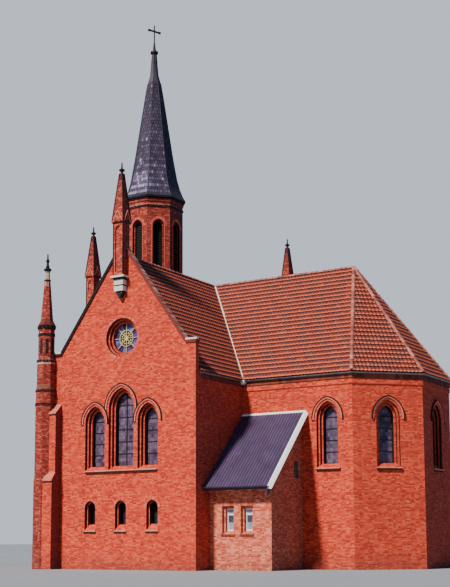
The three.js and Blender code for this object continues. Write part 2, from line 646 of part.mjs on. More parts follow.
function belfry() {
  const r = TOWER_IN_RADIUS;
  const top = CORNICE_FOOT - CLEAR;
  const ring = hollowForm([[r, BELFRY_FLOOR], [r, top]], BELFRY_FLOOR, top);
  const hole = join(...BELFRY_ORDERS.map(([half, depth]) =>
    prismY(pointedOutline(0, half, BELFRY_SILL, BELFRY_SPRING, BELFRY_SPREAD, 4), OUTSIDE, depth)));
  const openings = Array.from({ length: 8 }, (_, i) => hole.translate([0, -r, 0]).rotate([0, 0, 45 * i]));
  return cut(ring, ...openings);
}
addPiece('tower_belfry', towerAt(belfry()), BRICK);

function belfryCornice() {
  const r = TOWER_IN_RADIUS;
  const outer = [[r, CORNICE_FOOT], [r + 50, 24520], [r + 50, 24640], [r, 24670], [r, 24850],
    [r + 60, 24910], [r + 60, 25020], [r + 125, 25090], [r + 125, BELFRY_TOP]];
  return hollowForm(outer, CORNICE_FOOT, BELFRY_TOP);
}
addPiece('belfry_cornice', towerAt(belfryCornice()), BRICK);

const SPIRE_TOP = 34200;
const SPIRE_PROFILE = [[2120, 25285], [1945, 25600], [1750, 26120], [1550, 26880], [1275, 28520], [640, 32950]];
const SPIRE_SHELL = 120;

function spire() {
  const foot = [[0, BELFRY_TOP + CLEAR], [SPIRE_PROFILE[0][0], BELFRY_TOP + CLEAR]];
  const outside = octagonForm([...foot, ...SPIRE_PROFILE, [445, SPIRE_TOP], [0, SPIRE_TOP]]);
  const within = SPIRE_PROFILE.slice(2, 5).map(([radius, z]) => [radius - SPIRE_SHELL * 1.3, z - 100]);
  const inside = octagonForm([[0, 25000], [inner, 25000], [inner, 25900], ...within, [SPIRE_SHELL, 33300], [0, 33300]]);
  return cut(outside, inside);
}
addPiece('tower_spire', towerAt(spire()), SLATE);

const CAP_FOOT = SPIRE_TOP + CLEAR;
const CAP_TOP = 36390;
addPiece('spire_cap', towerAt(octagonForm([[0, CAP_FOOT], [440, CAP_FOOT], [400, 34360], [290, 34800],
  [175, CAP_TOP], [0, CAP_TOP]])), LEAD);

// Ball, spike and cross; the arms run a little east of north
const CROSS_TURN = -22.5;

function cross() {
  const foot = CAP_TOP + CLEAR;
  const stem = roundForm([[0, foot], [150, foot], [270, foot + 50], [290, foot + 130], [270, foot + 210],
    [120, foot + 270], [65, foot + 850], [45, foot + 890], [45, 38600], [0, 38630]], 12);
  const arms = box(-50, 50, -440, 440, 38095, 38195);
  const knobs = [-440, 440].map((y) => box(-70, 70, y - 70, y + 70, 38075, 38215));
  return join(stem, join(arms, ...knobs).rotate([0, 0, CROSS_TURN]));
}
addPiece('spire_cross', towerAt(cross()), IRON);

// Annex in the corner between the front arm and the choir arm

const annexTop = (y) => ANNEX_EAVE_Z + ANNEX_PITCH * (y - ANNEX_EAVE_Y);
const annexBack = -HALF_WIDTH - CLEAR;
const annexWest = HALF_WIDTH + CLEAR;

function annexOpening(x) {
  const outer = box(x - ANNEX_WINDOW_HALF, x + ANNEX_WINDOW_HALF, ANNEX_FRONT - 200, ANNEX_FRONT + STEP_IN,
    ANNEX_SILL, ANNEX_HEAD + STEP_OUT);
  const narrow = ANNEX_WINDOW_HALF - STEP_OUT;
  return join(outer, box(x - narrow, x + narrow, ANNEX_FRONT - 200, ANNEX_FRONT + 900, ANNEX_SILL, ANNEX_HEAD));
}

function annexSill(x) {
  const slope = [[0, ANNEX_SILL - 50], [ANNEX_WALL, ANNEX_SILL - 50], [ANNEX_WALL, ANNEX_SILL_BACK],
    [2 * STEP_IN, ANNEX_SILL_BACK], [0, ANNEX_SILL]];
  return prismX(slope, x - ANNEX_WINDOW_HALF, x + ANNEX_WINDOW_HALF).translate([0, ANNEX_FRONT, 0]);
}

function annexWalls() {
  const under = (y) => annexTop(y) - ANNEX_ROOF_RISE - 2 * CLEAR;
  const back = ANNEX_FRONT + ANNEX_WALL;
  const front = prismX([[ANNEX_FRONT, 0], [back, 0], [back, under(back)], [ANNEX_FRONT, under(ANNEX_FRONT)]],
    annexWest, ANNEX_EAST);
  const east = prismX([[ANNEX_FRONT, 0], [annexBack, 0], [annexBack, under(annexBack)], [back, under(back)],
    [ANNEX_FRONT, under(ANNEX_FRONT)]], ANNEX_EAST - ANNEX_WALL, ANNEX_EAST);
  const windows = ANNEX_WINDOW_X.map((x) => annexOpening(x));
  const sills = ANNEX_WINDOW_X.map((x) => annexSill(x));
  const { y, half, low, high } = SIDE_WINDOW;
  const sideWindow = box(ANNEX_EAST - ANNEX_WALL - 200, ANNEX_EAST + 200, y - half, y + half, low, high);
  const paving = box(annexWest, ANNEX_EAST - ANNEX_WALL, back, annexBack, 0, FLOOR_TOP);
  return join(cut(join(front, east), ...windows, sideWindow), ...sills, paving);
}

addPiece('annex_walls', annexWalls(), BRICK);

const annexPlan = [[annexWest, ANNEX_EAVE_Y], [ANNEX_VERGE - CLEAR, ANNEX_EAVE_Y],
  [ANNEX_VERGE - CLEAR, annexBack], [annexWest, annexBack]];
addPiece('annex_roof', slopingSlab(annexPlan, ANNEX_EAVE_Z - ANNEX_PITCH * ANNEX_EAVE_Y, 0, ANNEX_PITCH,
  ANNEX_ROOF_RISE), METAL_ROOF);

function bargeBoard() {
  const low = ANNEX_EAVE_Y - 30;
  const edge = (y, up) => [y, annexTop(y) + up];
  return prismX([edge(low, -560), edge(annexBack, -560), edge(annexBack, 60), edge(low, 60)],
    ANNEX_VERGE, ANNEX_VERGE + 50);
}
addPiece('annex_barge_board', bargeBoard(), WHITE_PAINT);

// White window in a frame, with a transom and one pane behind it
function annexWindow(halfWidth, low, high, transom) {
  const outside = [-halfWidth + CLEAR, halfWidth - CLEAR];
  const frame = box(...outside, 0, 60, low + CLEAR, high - CLEAR);
  const lights = [[low + 70, transom - 30], [transom + 30, high - 70]].map(([z0, z1]) =>
    box(-halfWidth + 70, halfWidth - 70, -50, 25, z0, z1));
  return cut(frame, ...lights);
}
ANNEX_WINDOW_X.forEach((x, i) => {
  const mesh = addPiece(`annex_window_${i + 1}`,
    annexWindow(ANNEX_WINDOW_HALF - STEP_OUT, ANNEX_SILL_BACK, ANNEX_HEAD, ANNEX_TRANSOM), WHITE_PAINT);
  mesh.position.set(x, ANNEX_FRONT + 2 * STEP_IN, 0);
});
const sideWindowMesh = addPiece('annex_side_window',
  annexWindow(SIDE_WINDOW.half, SIDE_WINDOW.low, SIDE_WINDOW.high, SIDE_WINDOW.transom), WHITE_PAINT);
sideWindowMesh.rotation.z = Math.PI / 2;
sideWindowMesh.position.set(ANNEX_EAST - 140, SIDE_WINDOW.y, 0);

// Floor inside the walls
function floorPlan() {
  const half = HALF_WIDTH - WALL - CLEAR;
  const westEnd = -WEST + WALL + CLEAR;
  const armEnd = FRONT - WALL - CLEAR;
  return [[westEnd, -half], [-half, -half], [-half, -armEnd], [half, -armEnd], ...apsePath(half, half),
    [half, armEnd], [-half, armEnd], [-half, half], [westEnd, half]];
}
addPiece('floor', cut(prismZ(floorPlan(), 0, FLOOR_TOP), towerHole), FLOORING);

export default model;
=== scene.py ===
"""Looks of the brick church: materials, tiles, slates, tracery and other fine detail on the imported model."""
import random
from collections import namedtuple
from math import acos, ceil, cos, floor, hypot, pi, radians, sin, sqrt, tan

import bpy
from mathutils import Matrix, Vector


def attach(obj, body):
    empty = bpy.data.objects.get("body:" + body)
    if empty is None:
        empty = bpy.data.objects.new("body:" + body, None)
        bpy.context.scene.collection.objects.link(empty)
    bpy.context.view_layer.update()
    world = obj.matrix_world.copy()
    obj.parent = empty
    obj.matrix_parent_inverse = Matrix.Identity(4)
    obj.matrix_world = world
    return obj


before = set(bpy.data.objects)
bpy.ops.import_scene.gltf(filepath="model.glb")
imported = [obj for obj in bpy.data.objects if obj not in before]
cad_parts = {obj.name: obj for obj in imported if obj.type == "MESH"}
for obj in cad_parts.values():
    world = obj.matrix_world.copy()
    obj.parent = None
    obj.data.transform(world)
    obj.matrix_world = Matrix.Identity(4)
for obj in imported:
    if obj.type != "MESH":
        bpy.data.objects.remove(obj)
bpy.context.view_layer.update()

# Main sizes in metres, as in the CAD model: arms, apse and parapets
HALF = 4.8
FRONT = 9.535
WEST = 9.41
APSE = 9.5
PARAPET = 0.3
# Roofs: the ridge's height, the rise of a metre, and how far from the ridge the eave lies
RIDGE = 17.135
PITCH = 1.383
EDGE = 4.88
SLANT = hypot(1, PITCH)
# Tower: its middle and how far out its faces lie; half a face is that times TAN
TOWER = Vector((-8.65, 5.74, 0))
TOWER_R = 1.945
TAN = tan(pi / 8)
# Openings: middle, half width, where the arch springs, and how far past the middle its arcs are centred
Opening = namedtuple("Opening", "x half spring spread")
CENTRE = Opening(0.0, 0.84, 8.715, 0.25)
SIDES = [Opening(sign * 1.77, 0.67, 7.975, 0.25) for sign in (-1, 1)]
SINGLE = Opening(0.0, 0.67, 7.975, 0.25)
SMALL = [Opening(x, 0.365, 3.29, 0.03) for x in (-2.06, 0.0, 2.06)]
BELFRY = Opening(0.0, 0.41, 23.15, 0.08)
DOOR = Opening(0.0, 1.24, 2.75, 0.25)
ROSE_Z = 12.54
# Depths of one brick step of a jamb and of the glass, and heights of the sills
STEP = 0.155
GLASS_Y = 0.56
GLASS_FOOT = 5.54
LEDGE_TOP = 5.3
SMALL_SILL = 2.07
BELFRY_SILL = 19.95
# Annex
ANNEX_EAVE_Y = -8.84
ANNEX_EAVE_Z = 4.28
ANNEX_PITCH = 1.012
ANNEX_FRONT = -8.18
ANNEX_EAST = 8.48
ANNEX_VERGE = 8.58
ANNEX_WINDOWS = (5.91, 7.04)


# Materials: colours are sRGB hex codes, and the stops of a colour ramp are a dictionary from place to code

WHITE_WEAR = "e2ccc0"
BLACK = "120909"
SOOT = "54201c"
MOSS = "786854"
JOINT = "d2684e"
BOND = (0.262, 0.077)
STREAK = (1.6, 4.0, (2.6, 2.6, 0.5))
BLUR = 0.015


def linear(code):
    """The shader's colour for an sRGB hex code."""
    parts = [int(code[i:i + 2], 16) / 255 for i in (0, 2, 4)]
    return [part / 12.92 if part <= 0.04045 else ((part + 0.055) / 1.055) ** 2.4 for part in parts] + [1.0]


class Finish:
    """One material and the short calls that wire its nodes."""

    def __init__(self, name):
        self.material = bpy.data.materials.new(name)
        self.material.use_nodes = True
        self.tree = self.material.node_tree
        self.shader = self.tree.nodes["Principled BSDF"]
        self.where = self.node("TexCoord").outputs["Object"]

    def put(self, socket, value):
        if isinstance(value, bpy.types.NodeSocket):
            self.tree.links.new(value, socket)
        else:
            socket.default_value = linear(value) if isinstance(value, str) else value

    def node(self, kind, values=None, **settings):
        made = self.tree.nodes.new("ShaderNode" + kind)
        for key, value in settings.items():
            setattr(made, key, value)
        for key, value in (values or {}).items():
            self.put(made.inputs[key], value)
        return made

    def sum_up(self, kind, operation, *values):
        made = self.node(kind, operation=operation)
        for socket, value in zip(made.inputs, values):
            self.put(socket, value)
        return made.outputs["Vector" if kind == "VectorMath" and operation != "DOT_PRODUCT" else "Value"]

    def vector(self, operation, *values):
        return self.sum_up("VectorMath", operation, *values)

    def times(self, *values):
        return self.sum_up("Math", "MULTIPLY", *values)

    def plus(self, *values):
        return self.sum_up("Math", "ADD", *values)

    def less(self, *values):
        return self.sum_up("Math", "SUBTRACT", *values)

    def mix(self, factor, first, second):
        made = self.node("Mix", data_type="RGBA")
        self.put(made.inputs[0], factor)
        self.put(made.inputs[6], first)
        self.put(made.inputs[7], second)
        return made.outputs[2]

    def noise(self, scale, detail=3.0, stretch=None):
        where = self.vector("MULTIPLY", self.where, stretch) if stretch else self.where
        values = {"Vector": where, "Scale": scale, "Detail": detail, "Roughness": 0.6}
        return self.node("TexNoise", values).outputs["Fac"]

    def spread(self, value, low, high, start=0.0, end=1.0):
        values = {"Value": value, "From Min": low, "From Max": high, "To Min": start, "To Max": end}
        return self.node("MapRange", values).outputs["Result"]

    def stain(self, colour, mask, low, high, share, tone):
        """Mixes in a tone, up to a share of it as the mask goes from low to high."""
        return self.mix(self.spread(mask, low, high, 0.0, share), colour, tone)

    def ramp(self, factor, stops, mode="LINEAR"):
        made = self.node("ValToRGB", {"Fac": factor})
        made.color_ramp.interpolation = mode
        elements = made.color_ramp.elements
        while len(elements) < len(stops):
            elements.new(0.5)
        for element, (place, code) in zip(elements, stops.items()):
            element.position = place
            element.color = linear(code)
        return made.outputs["Color"]

    def bump(self, height, distance):
        return self.node("Bump", {"Height": height, "Distance": distance, "Strength": 1.0}).outputs["Normal"]

    def attribute(self, name):
        return self.node("Attribute", attribute_name=name).outputs["Fac"]

    def part(self, vector, axis):
        return self.node("SeparateXYZ", {"Vector": vector}).outputs[axis]

    def height(self):
        return self.part(self.where, "Z")

    def lean(self, axis):
        """How far a face looks along an axis, from -1 to 1."""
        return self.part(self.node("NewGeometry").outputs["True Normal"], axis)

    def plane(self):
        """Coordinates along and up a face, whichever way it looks."""
        normal = self.node("NewGeometry").outputs["True Normal"]
        along = self.vector("NORMALIZE", self.vector("CROSS_PRODUCT", (0, 0, 1), normal))
        up = self.vector("CROSS_PRODUCT", normal, along)
        u = self.vector("DOT_PRODUCT", self.where, along)
        v = self.vector("DOT_PRODUCT", self.where, up)
        return self.node("CombineXYZ", {"X": u, "Y": v}).outputs["Vector"]

    def bond(self, size, joint_half, smooth, **layout):
        """Pieces in courses: Color is each piece's own grey, and Fac marks the joints."""
        return self.node("TexBrick", {
            "Vector": self.plane(), "Color1": "000000", "Color2": "ffffff", "Mortar": (0.5, 0.5, 0.5, 1.0),
            "Scale": 1.0, "Mortar Size": joint_half, "Mortar Smooth": smooth, "Bias": 0.0,
            "Brick Width": size[0], "Row Height": size[1],
        }, **layout).outputs

    def banded(self, colour, bands):
        """Worn bands of another tone, each between two heights."""
        for low, high, tone, share in bands:
            rise = self.spread(self.height(), low - BLUR, low + BLUR)
            fall = self.spread(self.height(), high - BLUR, high + BLUR, 1.0, 0.0)
            worn = self.spread(self.noise(9.0, 4.0), 0.4, 0.6, share - 0.3, share + 0.3)
            mask = self.times(self.times(rise, fall), worn)
            colour = self.mix(mask, colour, tone)
        return colour

    def done(self, colour, roughness, normal, metallic=0.0, specular=0.5):
        self.put(self.shader.inputs["Base Color"], colour)
        self.put(self.shader.inputs["Roughness"], roughness)
        self.put(self.shader.inputs["Normal"], normal)
        self.shader.inputs["Metallic"].default_value = metallic
        self.shader.inputs["Specular IOR Level"].default_value = specular
        return self.material


def coursed(name, stops, joint, size, squash=1.0, offset=0.5, bands=(), dirt=0.25, specks=0.0, grime=0.5):
    """Bricks, tiles, slates or slabs in courses, each with its own tint, over larger weathering, with painted
    shade on faces turned away from the front.
    """
    made = Finish(name)
    tones = list(stops.values())
    bond = made.bond(size, 0.0055, 0.4, offset=offset, squash=squash)
    patch = made.noise(2.3, 4.0)
    grain = made.noise(55.0, 2.0)
    streak = made.noise(1.0, 4.0, (3.2, 3.2, 0.22))
    colour = made.ramp(bond["Color"], stops)
    colour = made.stain(colour, made.noise(0.55, 5.0), 0.42, 0.68, 0.18, tones[0])
    colour = made.stain(colour, patch, 0.5, 0.75, 0.16, tones[-1])
    colour = made.stain(colour, streak, 0.55, 0.8, dirt, "482c28")
    colour = made.mix(bond["Fac"], colour, made.mix(grain, joint, tones[1]))
    # Damp rises from the ground, and specks lie only above the turret's lower stage
    damp = made.times(made.spread(made.height(), 0.0, 1.1, 0.75, 0.0), patch)
    colour = made.mix(damp, colour, "5c423a")
    if specks:
        flecks = made.spread(made.noise(11.0, 2.0), 0.66, 0.72, 0.0, specks)
        flecks = made.times(flecks, made.spread(made.height(), 9.2, 9.9))
        colour = made.mix(flecks, colour, WHITE_WEAR)
    colour = made.banded(colour, bands)
    # Faces turned away from the front are darkened as painted shade
    colour = made.stain(colour, made.lean("Y"), -0.6, -0.2, grime, "322a2e")
    face = made.less(1.0, bond["Fac"])
    height = made.plus(face, made.times(grain, 0.35))
    return made.done(colour, made.spread(patch, 0.3, 0.7, 0.78, 0.95), made.bump(height, 0.006), specular=0.3)


def brickwork(name, stops, joint=JOINT, **marks):
    return coursed(name, stops, joint, BOND, squash=0.5, **marks)


def tinted(name, stops, mark, rough=(0.6, 0.85), depth=0.004, scale=2.0, specular=0.5):
    """Separate small pieces, each with its own tint, with weather marks over them."""
    made = Finish(name)
    tones = list(stops.values())
    grain = made.noise(38.0, 3.0)
    colour = made.ramp(made.attribute("tint"), stops)
    colour = made.stain(colour, made.noise(scale, 5.0), 0.48, 0.72, 0.45, mark)
    colour = made.stain(colour, made.noise(*STREAK), 0.52, 0.78, 0.4, tones[0])
    colour = made.stain(colour, grain, 0.35, 0.75, 0.22, tones[-1])
    roughness = made.spread(grain, 0.3, 0.7, *rough)
    return made.done(colour, roughness, made.bump(grain, depth), specular=specular)


def weathered(name, base, dark, light, rough=(0.5, 0.75), metallic=0.0, scale=3.0, depth=0.002,
              drip=0.5, bands=(), specular=0.5):
    """A plain surface with clouding, drips and fine grain."""
    made = Finish(name)
    cloud = made.noise(scale, 5.0)
    grain = made.noise(scale * 22, 3.0)
    colour = made.stain(base, cloud, 0.35, 0.65, 1.0, light)
    colour = made.stain(colour, made.noise(scale * 2, 5.0, (2.4, 2.4, 0.3)), 0.5, 0.78, drip, dark)
    colour = made.stain(colour, grain, 0.4, 0.8, 0.25, dark)
    colour = made.banded(colour, bands)
    height = made.plus(made.times(cloud, 0.5), grain)
    roughness = made.spread(cloud, 0.3, 0.7, *rough)
    return made.done(colour, roughness, made.bump(height, depth), metallic, specular)


def pantile_finish():
    """Tiles with painted shadow under the lap of the course above and on the lip, a painted highlight at the
    nose, and painted shade on slopes that face east.
    """
    made = Finish("pantile")
    stops = {0.0: "4e1812", 0.45: "7a2416", 0.75: "963220", 1.0: "be4c32"}
    tones = list(stops.values())
    fall = made.attribute("fall")
    grain = made.noise(38.0, 3.0)
    colour = made.ramp(made.attribute("tint"), stops)
    colour = made.stain(colour, made.noise(0.9, 5.0), 0.45, 0.7, 0.35, "462220")
    colour = made.stain(colour, made.noise(*STREAK), 0.52, 0.78, 0.35, tones[0])
    colour = made.stain(colour, grain, 0.35, 0.75, 0.2, tones[-1])
    # Painted shadow under the lap of the course above; the lip takes it in full
    colour = made.mix(made.spread(fall, 0.08, 0.6, 1.0, 0.0), colour, "100808")
    # Painted highlight at the nose
    colour = made.stain(colour, fall, 0.66, 0.94, 0.85, "f87650")
    # Painted shade on slopes that face east
    colour = made.stain(colour, made.lean("X"), 0.55, 0.65, 0.3, "281416")
    return made.done(colour, made.spread(grain, 0.3, 0.7, 0.6, 0.85), made.bump(grain, 0.004))


def coping_finish():
    """Brick on edge over the rakes: speckled on top, and the faces painted shade, black on the face to the
    west and brown to the east.
    """
    made = Finish("coping_brick")
    bond = made.bond((0.4, 0.085), 0.006, 0.3, offset=0.0)
    grain = made.noise(30.0, 3.0)
    cloud = made.noise(2.0, 4.0)
    top = made.ramp(bond["Color"], {0.0: "6e3630", 0.5: "ac645a", 1.0: "e2b0a4"})
    top = made.stain(top, cloud, 0.45, 0.65, 0.5, "683632")
    top = made.mix(bond["Fac"], top, "60423c")
    # The faces are painted shade: black to the west, brown to the east
    shaded_face_west = made.mix(cloud, "140909", "2c1412")
    shaded_face_east = made.mix(cloud, "60241e", "923c30")
    face = made.stain(shaded_face_west, made.part(made.where, "X"), -0.3, 0.3, 1.0, shaded_face_east)
    colour = made.stain(face, made.lean("Z"), 0.2, 0.4, 1.0, top)
    flat = made.less(1.0, bond["Fac"])
    height = made.plus(flat, made.times(grain, 0.4))
    return made.done(colour, made.spread(grain, 0.3, 0.7, 0.6, 0.85), made.bump(height, 0.005), specular=0.25)


def oak_finish():
    made = Finish("oak_boards")
    grain = made.noise(6.0, 6.0, (9.0, 9.0, 0.6))
    upright = made.vector("MULTIPLY", made.where, (7.0, 7.0, 0.7))
    wave = made.node("TexWave", {"Vector": upright, "Scale": 1.5, "Distortion": 6.0, "Detail": 3.0})
    colour = made.ramp(grain, {0.25: "261810", 0.55: "4e3220", 0.8: "68482e"})
    colour = made.mix(made.times(wave.outputs["Fac"], 0.4), colour, "2e1e14")
    return made.done(colour, made.spread(grain, 0.2, 0.8, 0.5, 0.8), made.bump(grain, 0.003))


def glass_finish(name, stops, lead, pane, rough=0.18):
    """Small leaded panes, each tinted a little differently, with a ripple over them."""
    made = Finish(name)
    grid = made.bond(pane, 0.006, 0.2, offset=0.0)
    ripple = made.noise(14.0, 2.0)
    colour = made.ramp(grid["Color"], stops)
    colour = made.stain(colour, made.noise(1.1, 3.0), 0.4, 0.65, 0.6, list(stops.values())[-1])
    colour = made.mix(grid["Fac"], colour, lead)
    lines = made.times(grid["Fac"], 0.5)
    height = made.plus(lines, made.times(ripple, 0.4))
    roughness = made.plus(made.times(grid["Fac"], 0.4), rough)
    return made.done(colour, roughness, made.bump(height, 0.004))


def rose_finish():
    """Stained panels: violet outside, amber and dark red petals inside, pale dots and centre."""
    made = Finish("rose_panels")
    stops = {0.0: "5c4c84", 0.15: "3e2e60", 0.3: "7a6a9e", 0.45: "9c6c34",
             0.6: "2e1416", 0.75: "e2ce96", 0.9: "ecc85c"}
    ripple = made.noise(20.0, 3.0)
    colour = made.ramp(made.attribute("tint"), stops, "CONSTANT")
    colour = made.stain(colour, ripple, 0.4, 0.7, 0.4, "28223c")
    return made.done(colour, made.spread(ripple, 0.3, 0.7, 0.12, 0.3), made.bump(ripple, 0.003))


RED = {0.0: "a42a1c", 0.35: "d23d25", 0.7: "e54e32", 1.0: "f06848"}
WORN_RED = {0.0: "74201a", 0.35: "b03628", 0.7: "cc4c38", 1.0: "e47660"}
DEEP_RED = {0.0: "601c18", 0.35: "922e22", 0.7: "ae3e2e", 1.0: "cc6450"}
PALE_RED = {0.0: "b04632", 0.35: "e06446", 0.7: "f07e5e", 1.0: "faa080"}
TURRET_BANDS = [
    (9.06, 9.19, BLACK, 0.9), (9.84, 9.98, BLACK, 0.9), (10.0, 10.26, MOSS, 0.35),
    (11.4, 11.49, WHITE_WEAR, 0.85), (11.51, 11.63, BLACK, 0.9), (11.86, 11.95, BLACK, 0.4),
    (13.01, 13.15, BLACK, 0.95), (13.4, 13.64, BLACK, 1.1), (13.64, 14.0, SOOT, 0.6),
    (15.9, 16.2, WHITE_WEAR, 0.1), (16.2, 16.3, BLACK, 0.95), (16.3, 16.79, WHITE_WEAR, 0.5),
    (16.8, 19.0, BLACK, 1.3)]
PINNACLE_BANDS = [(18.86, 18.99, BLACK, 0.7), (19.3, 20.3, SOOT, 0.35), (20.3, 21.3, SOOT, 0.6),
                  (21.3, 21.86, SOOT, 1.1), (21.86, 23.0, BLACK, 1.3)]
# Belfry: the black band from 25.06 m up to the spire's foot is painted shadow under the spire's eave; the
# black line at 24.49 m and the pale line over it are darker and paler bands
BELFRY_BANDS_AND_EAVE_SHADE = [(24.49, 24.66, BLACK, 1.0), (24.67, 24.71, WHITE_WEAR, 0.3), (25.06, 25.4, BLACK, 1.3)]
# Pinnacle corbels: the black bands at the neck and the joint are painted shadow under the slab and in the
# recess; the dark foot is partly painted shadow and partly soot
CORBEL_SHADE_BANDS = [(15.655, 15.785, BLACK, 1.2), (15.325, 15.395, BLACK, 1.2), (14.6, 15.045, BLACK, 1.2)]

# Each brickwork sets its own share of painted shade on faces turned away from the front; the buttress's sides
# get the most
BRICK = brickwork("brick", RED, grime=0.35)
BUTTRESS_BRICK = brickwork("brick_buttress", RED, grime=0.75)
TURRET_BRICK = brickwork("brick_turret", DEEP_RED, "a04c3e", bands=TURRET_BANDS, dirt=0.5, specks=0.8)
PINNACLE_BRICK = brickwork("brick_pinnacle", WORN_RED, bands=PINNACLE_BANDS, dirt=0.45, specks=0.3)
TOWER_BRICK = brickwork("brick_tower", DEEP_RED, "9c4c40", bands=BELFRY_BANDS_AND_EAVE_SHADE, dirt=0.4)
ANNEX_BRICK = brickwork("brick_annex", PALE_RED, "e28e72", grime=0.4)
COPING = coping_finish()
TILE_BED = coursed("tile_bed", {0.0: "602c22", 0.5: "803a2a", 1.0: "964a34"},
                   "46241e", (0.22, 0.333))
SLATE_BED = coursed("slate_bed", {0.0: "120c14", 0.5: "1c1420", 1.0: "2c2232"},
                    "0e0a10", (0.2, 0.2))
FLOORING = coursed("floor_slabs", {0.0: "7e786e", 0.5: "969084", 1.0: "aca69a"},
                   "605a54", (0.6, 0.6), offset=0.0)
TILE = pantile_finish()
RIDGE_TILE = tinted("ridge_tile", {0.0: "7c382e", 1.0: "cc7c6a"}, "603c36")
VOUSSOIR = tinted("arch_brick", {0.0: "b0382a", 0.5: "d04e3a", 1.0: "f08066"},
                  "be4c3a", rough=(0.75, 0.9))
SLATE = tinted("slate", {0.0: "0a060d", 0.35: "2a1e2e", 0.65: "564664", 1.0: "b2a6ca"},
               "2e1c2a", rough=(0.55, 0.75), scale=0.8, specular=0.15)
SILL_BRICK = tinted("sill_brick", {0.0: "601c18", 1.0: "96382e"}, "54201c")
PANE = tinted("curtained_panes", {0.0: "1a1a22", 0.4: "424452", 1.0: "babece"},
              "787e8c", rough=(0.08, 0.2), depth=0.0005)
STONE = weathered("pale_stone", "dad2c8", "60524c", "ece6dc", (0.75, 0.9), depth=0.004,
                  drip=0.3, bands=CORBEL_SHADE_BANDS)
HOOD_LIGHT = weathered("hood_brick_light", "e87c60", "ba503a", "f49e82", (0.7, 0.85))
# Near-black brick for the hood rims; the same material is painted shade in the reveals, under the ledges, down
# the pinnacles' front corners and over the turret's slots
HOOD_DARK_AND_SHADE = weathered("hood_brick_dark_and_painted_shade", "240e0e", "100707", "3a1816", (0.6, 0.8), specular=0.25)
ORDER_BRICK = weathered("order_brick", "cc4a34", "a03224", "e0644c", (0.7, 0.85), specular=0.3)
WEATHERING = weathered("weathering_brick", "c85a46", "86382e", "de826c", (0.7, 0.85),
                       scale=5.0, specular=0.3)
DARK_FRAME = weathered("dark_frame", "4a3a3c", "2c2224", "604e4e", (0.5, 0.7), scale=4.0)
LEAD = weathered("lead", "342a34", "18121a", "4e4250", (0.5, 0.7), 0.3)
IRON = weathered("iron", "222024", "121012", "3a3232", (0.45, 0.7), 0.6, 8.0)
MORTAR = weathered("lime_mortar", "e2d8ce", "96847a", "f0e8e0", (0.85, 0.95))
ZINC = weathered("zinc", "706e76", "423e44", "929098", (0.4, 0.6), 0.6)
SHEET = weathered("painted_sheet", "34233e", "1e1326", "443150", (0.5, 0.7), 0.05, 1.2, 0.0015)
RIB_PAINT = weathered("painted_ribs", "4e365c", "32213c", "604670", (0.5, 0.7), 0.05, 1.2, 0.0015)
WHITE = weathered("white_paint", "faf9fc", "cec8ce", "fefeff", (0.4, 0.6), 0.0, 2.0,
                  0.001, 0.15)
CREAM = weathered("cream_tracery", "decc8e", "9a8254", "eee2ac", (0.5, 0.7), scale=6.0)
# Near-black boards: painted shade of the belfry's dark inside
LOUVRE = weathered("dark_boards", "0e0f0e", "070708", "1a1a18", (0.6, 0.85), scale=4.0)
OAK = oak_finish()
GLASS = glass_finish("leaded_glass", {0.0: "34263a", 0.5: "56425a", 1.0: "786278"},
                     "1e1a22", (0.15, 0.2))
DARK_GLASS = glass_finish("dark_panes", {0.0: "141216", 0.5: "222028", 1.0: "34343e"},
                          "141212", (0.6, 0.6), 0.1)
ROSE_GLASS = rose_finish()

NODE_FINISHES = {
    "corner_turret": TURRET_BRICK, "front_buttress": BUTTRESS_BRICK, "tower_belfry": TOWER_BRICK,
    "belfry_cornice": TOWER_BRICK, "tower_shaft": TOWER_BRICK, "tower_spire": SLATE_BED, "spire_cap": LEAD,
    "spire_cross": IRON, "annex_roof": SHEET, "annex_walls": ANNEX_BRICK, "annex_barge_board": SHEET,
    "annex_window_1": WHITE, "annex_window_2": WHITE, "annex_side_window": DARK_FRAME, "west_door": OAK,
    "floor": FLOORING, "apse_roof": TILE_BED,
}
ENDINGS = [("_pinnacle_corbel", STONE), ("_pinnacle", PINNACLE_BRICK), ("_coping", COPING),
           ("_slope", TILE_BED), ("_glazing", GLASS)]


def finish_of(name):
    if name in NODE_FINISHES:
        return NODE_FINISHES[name]
    return next((finish for ending, finish in ENDINGS if name.endswith(ending)), BRICK)


for node_name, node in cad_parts.items():
    finish = finish_of(node_name)
    if not node.material_slots:
        node.data.materials.append(finish)
    for material_slot in node.material_slots:
        material_slot.material = finish


# Geometry

link = bpy.context.scene.collection.objects.link
BOX_FACES = [(0, 2, 3, 1), (4, 5, 7, 6), (0, 1, 5, 4), (2, 6, 7, 3), (0, 4, 6, 2), (1, 3, 7, 5)]


def around(count):
    return [2 * pi * i / count for i in range(count)]


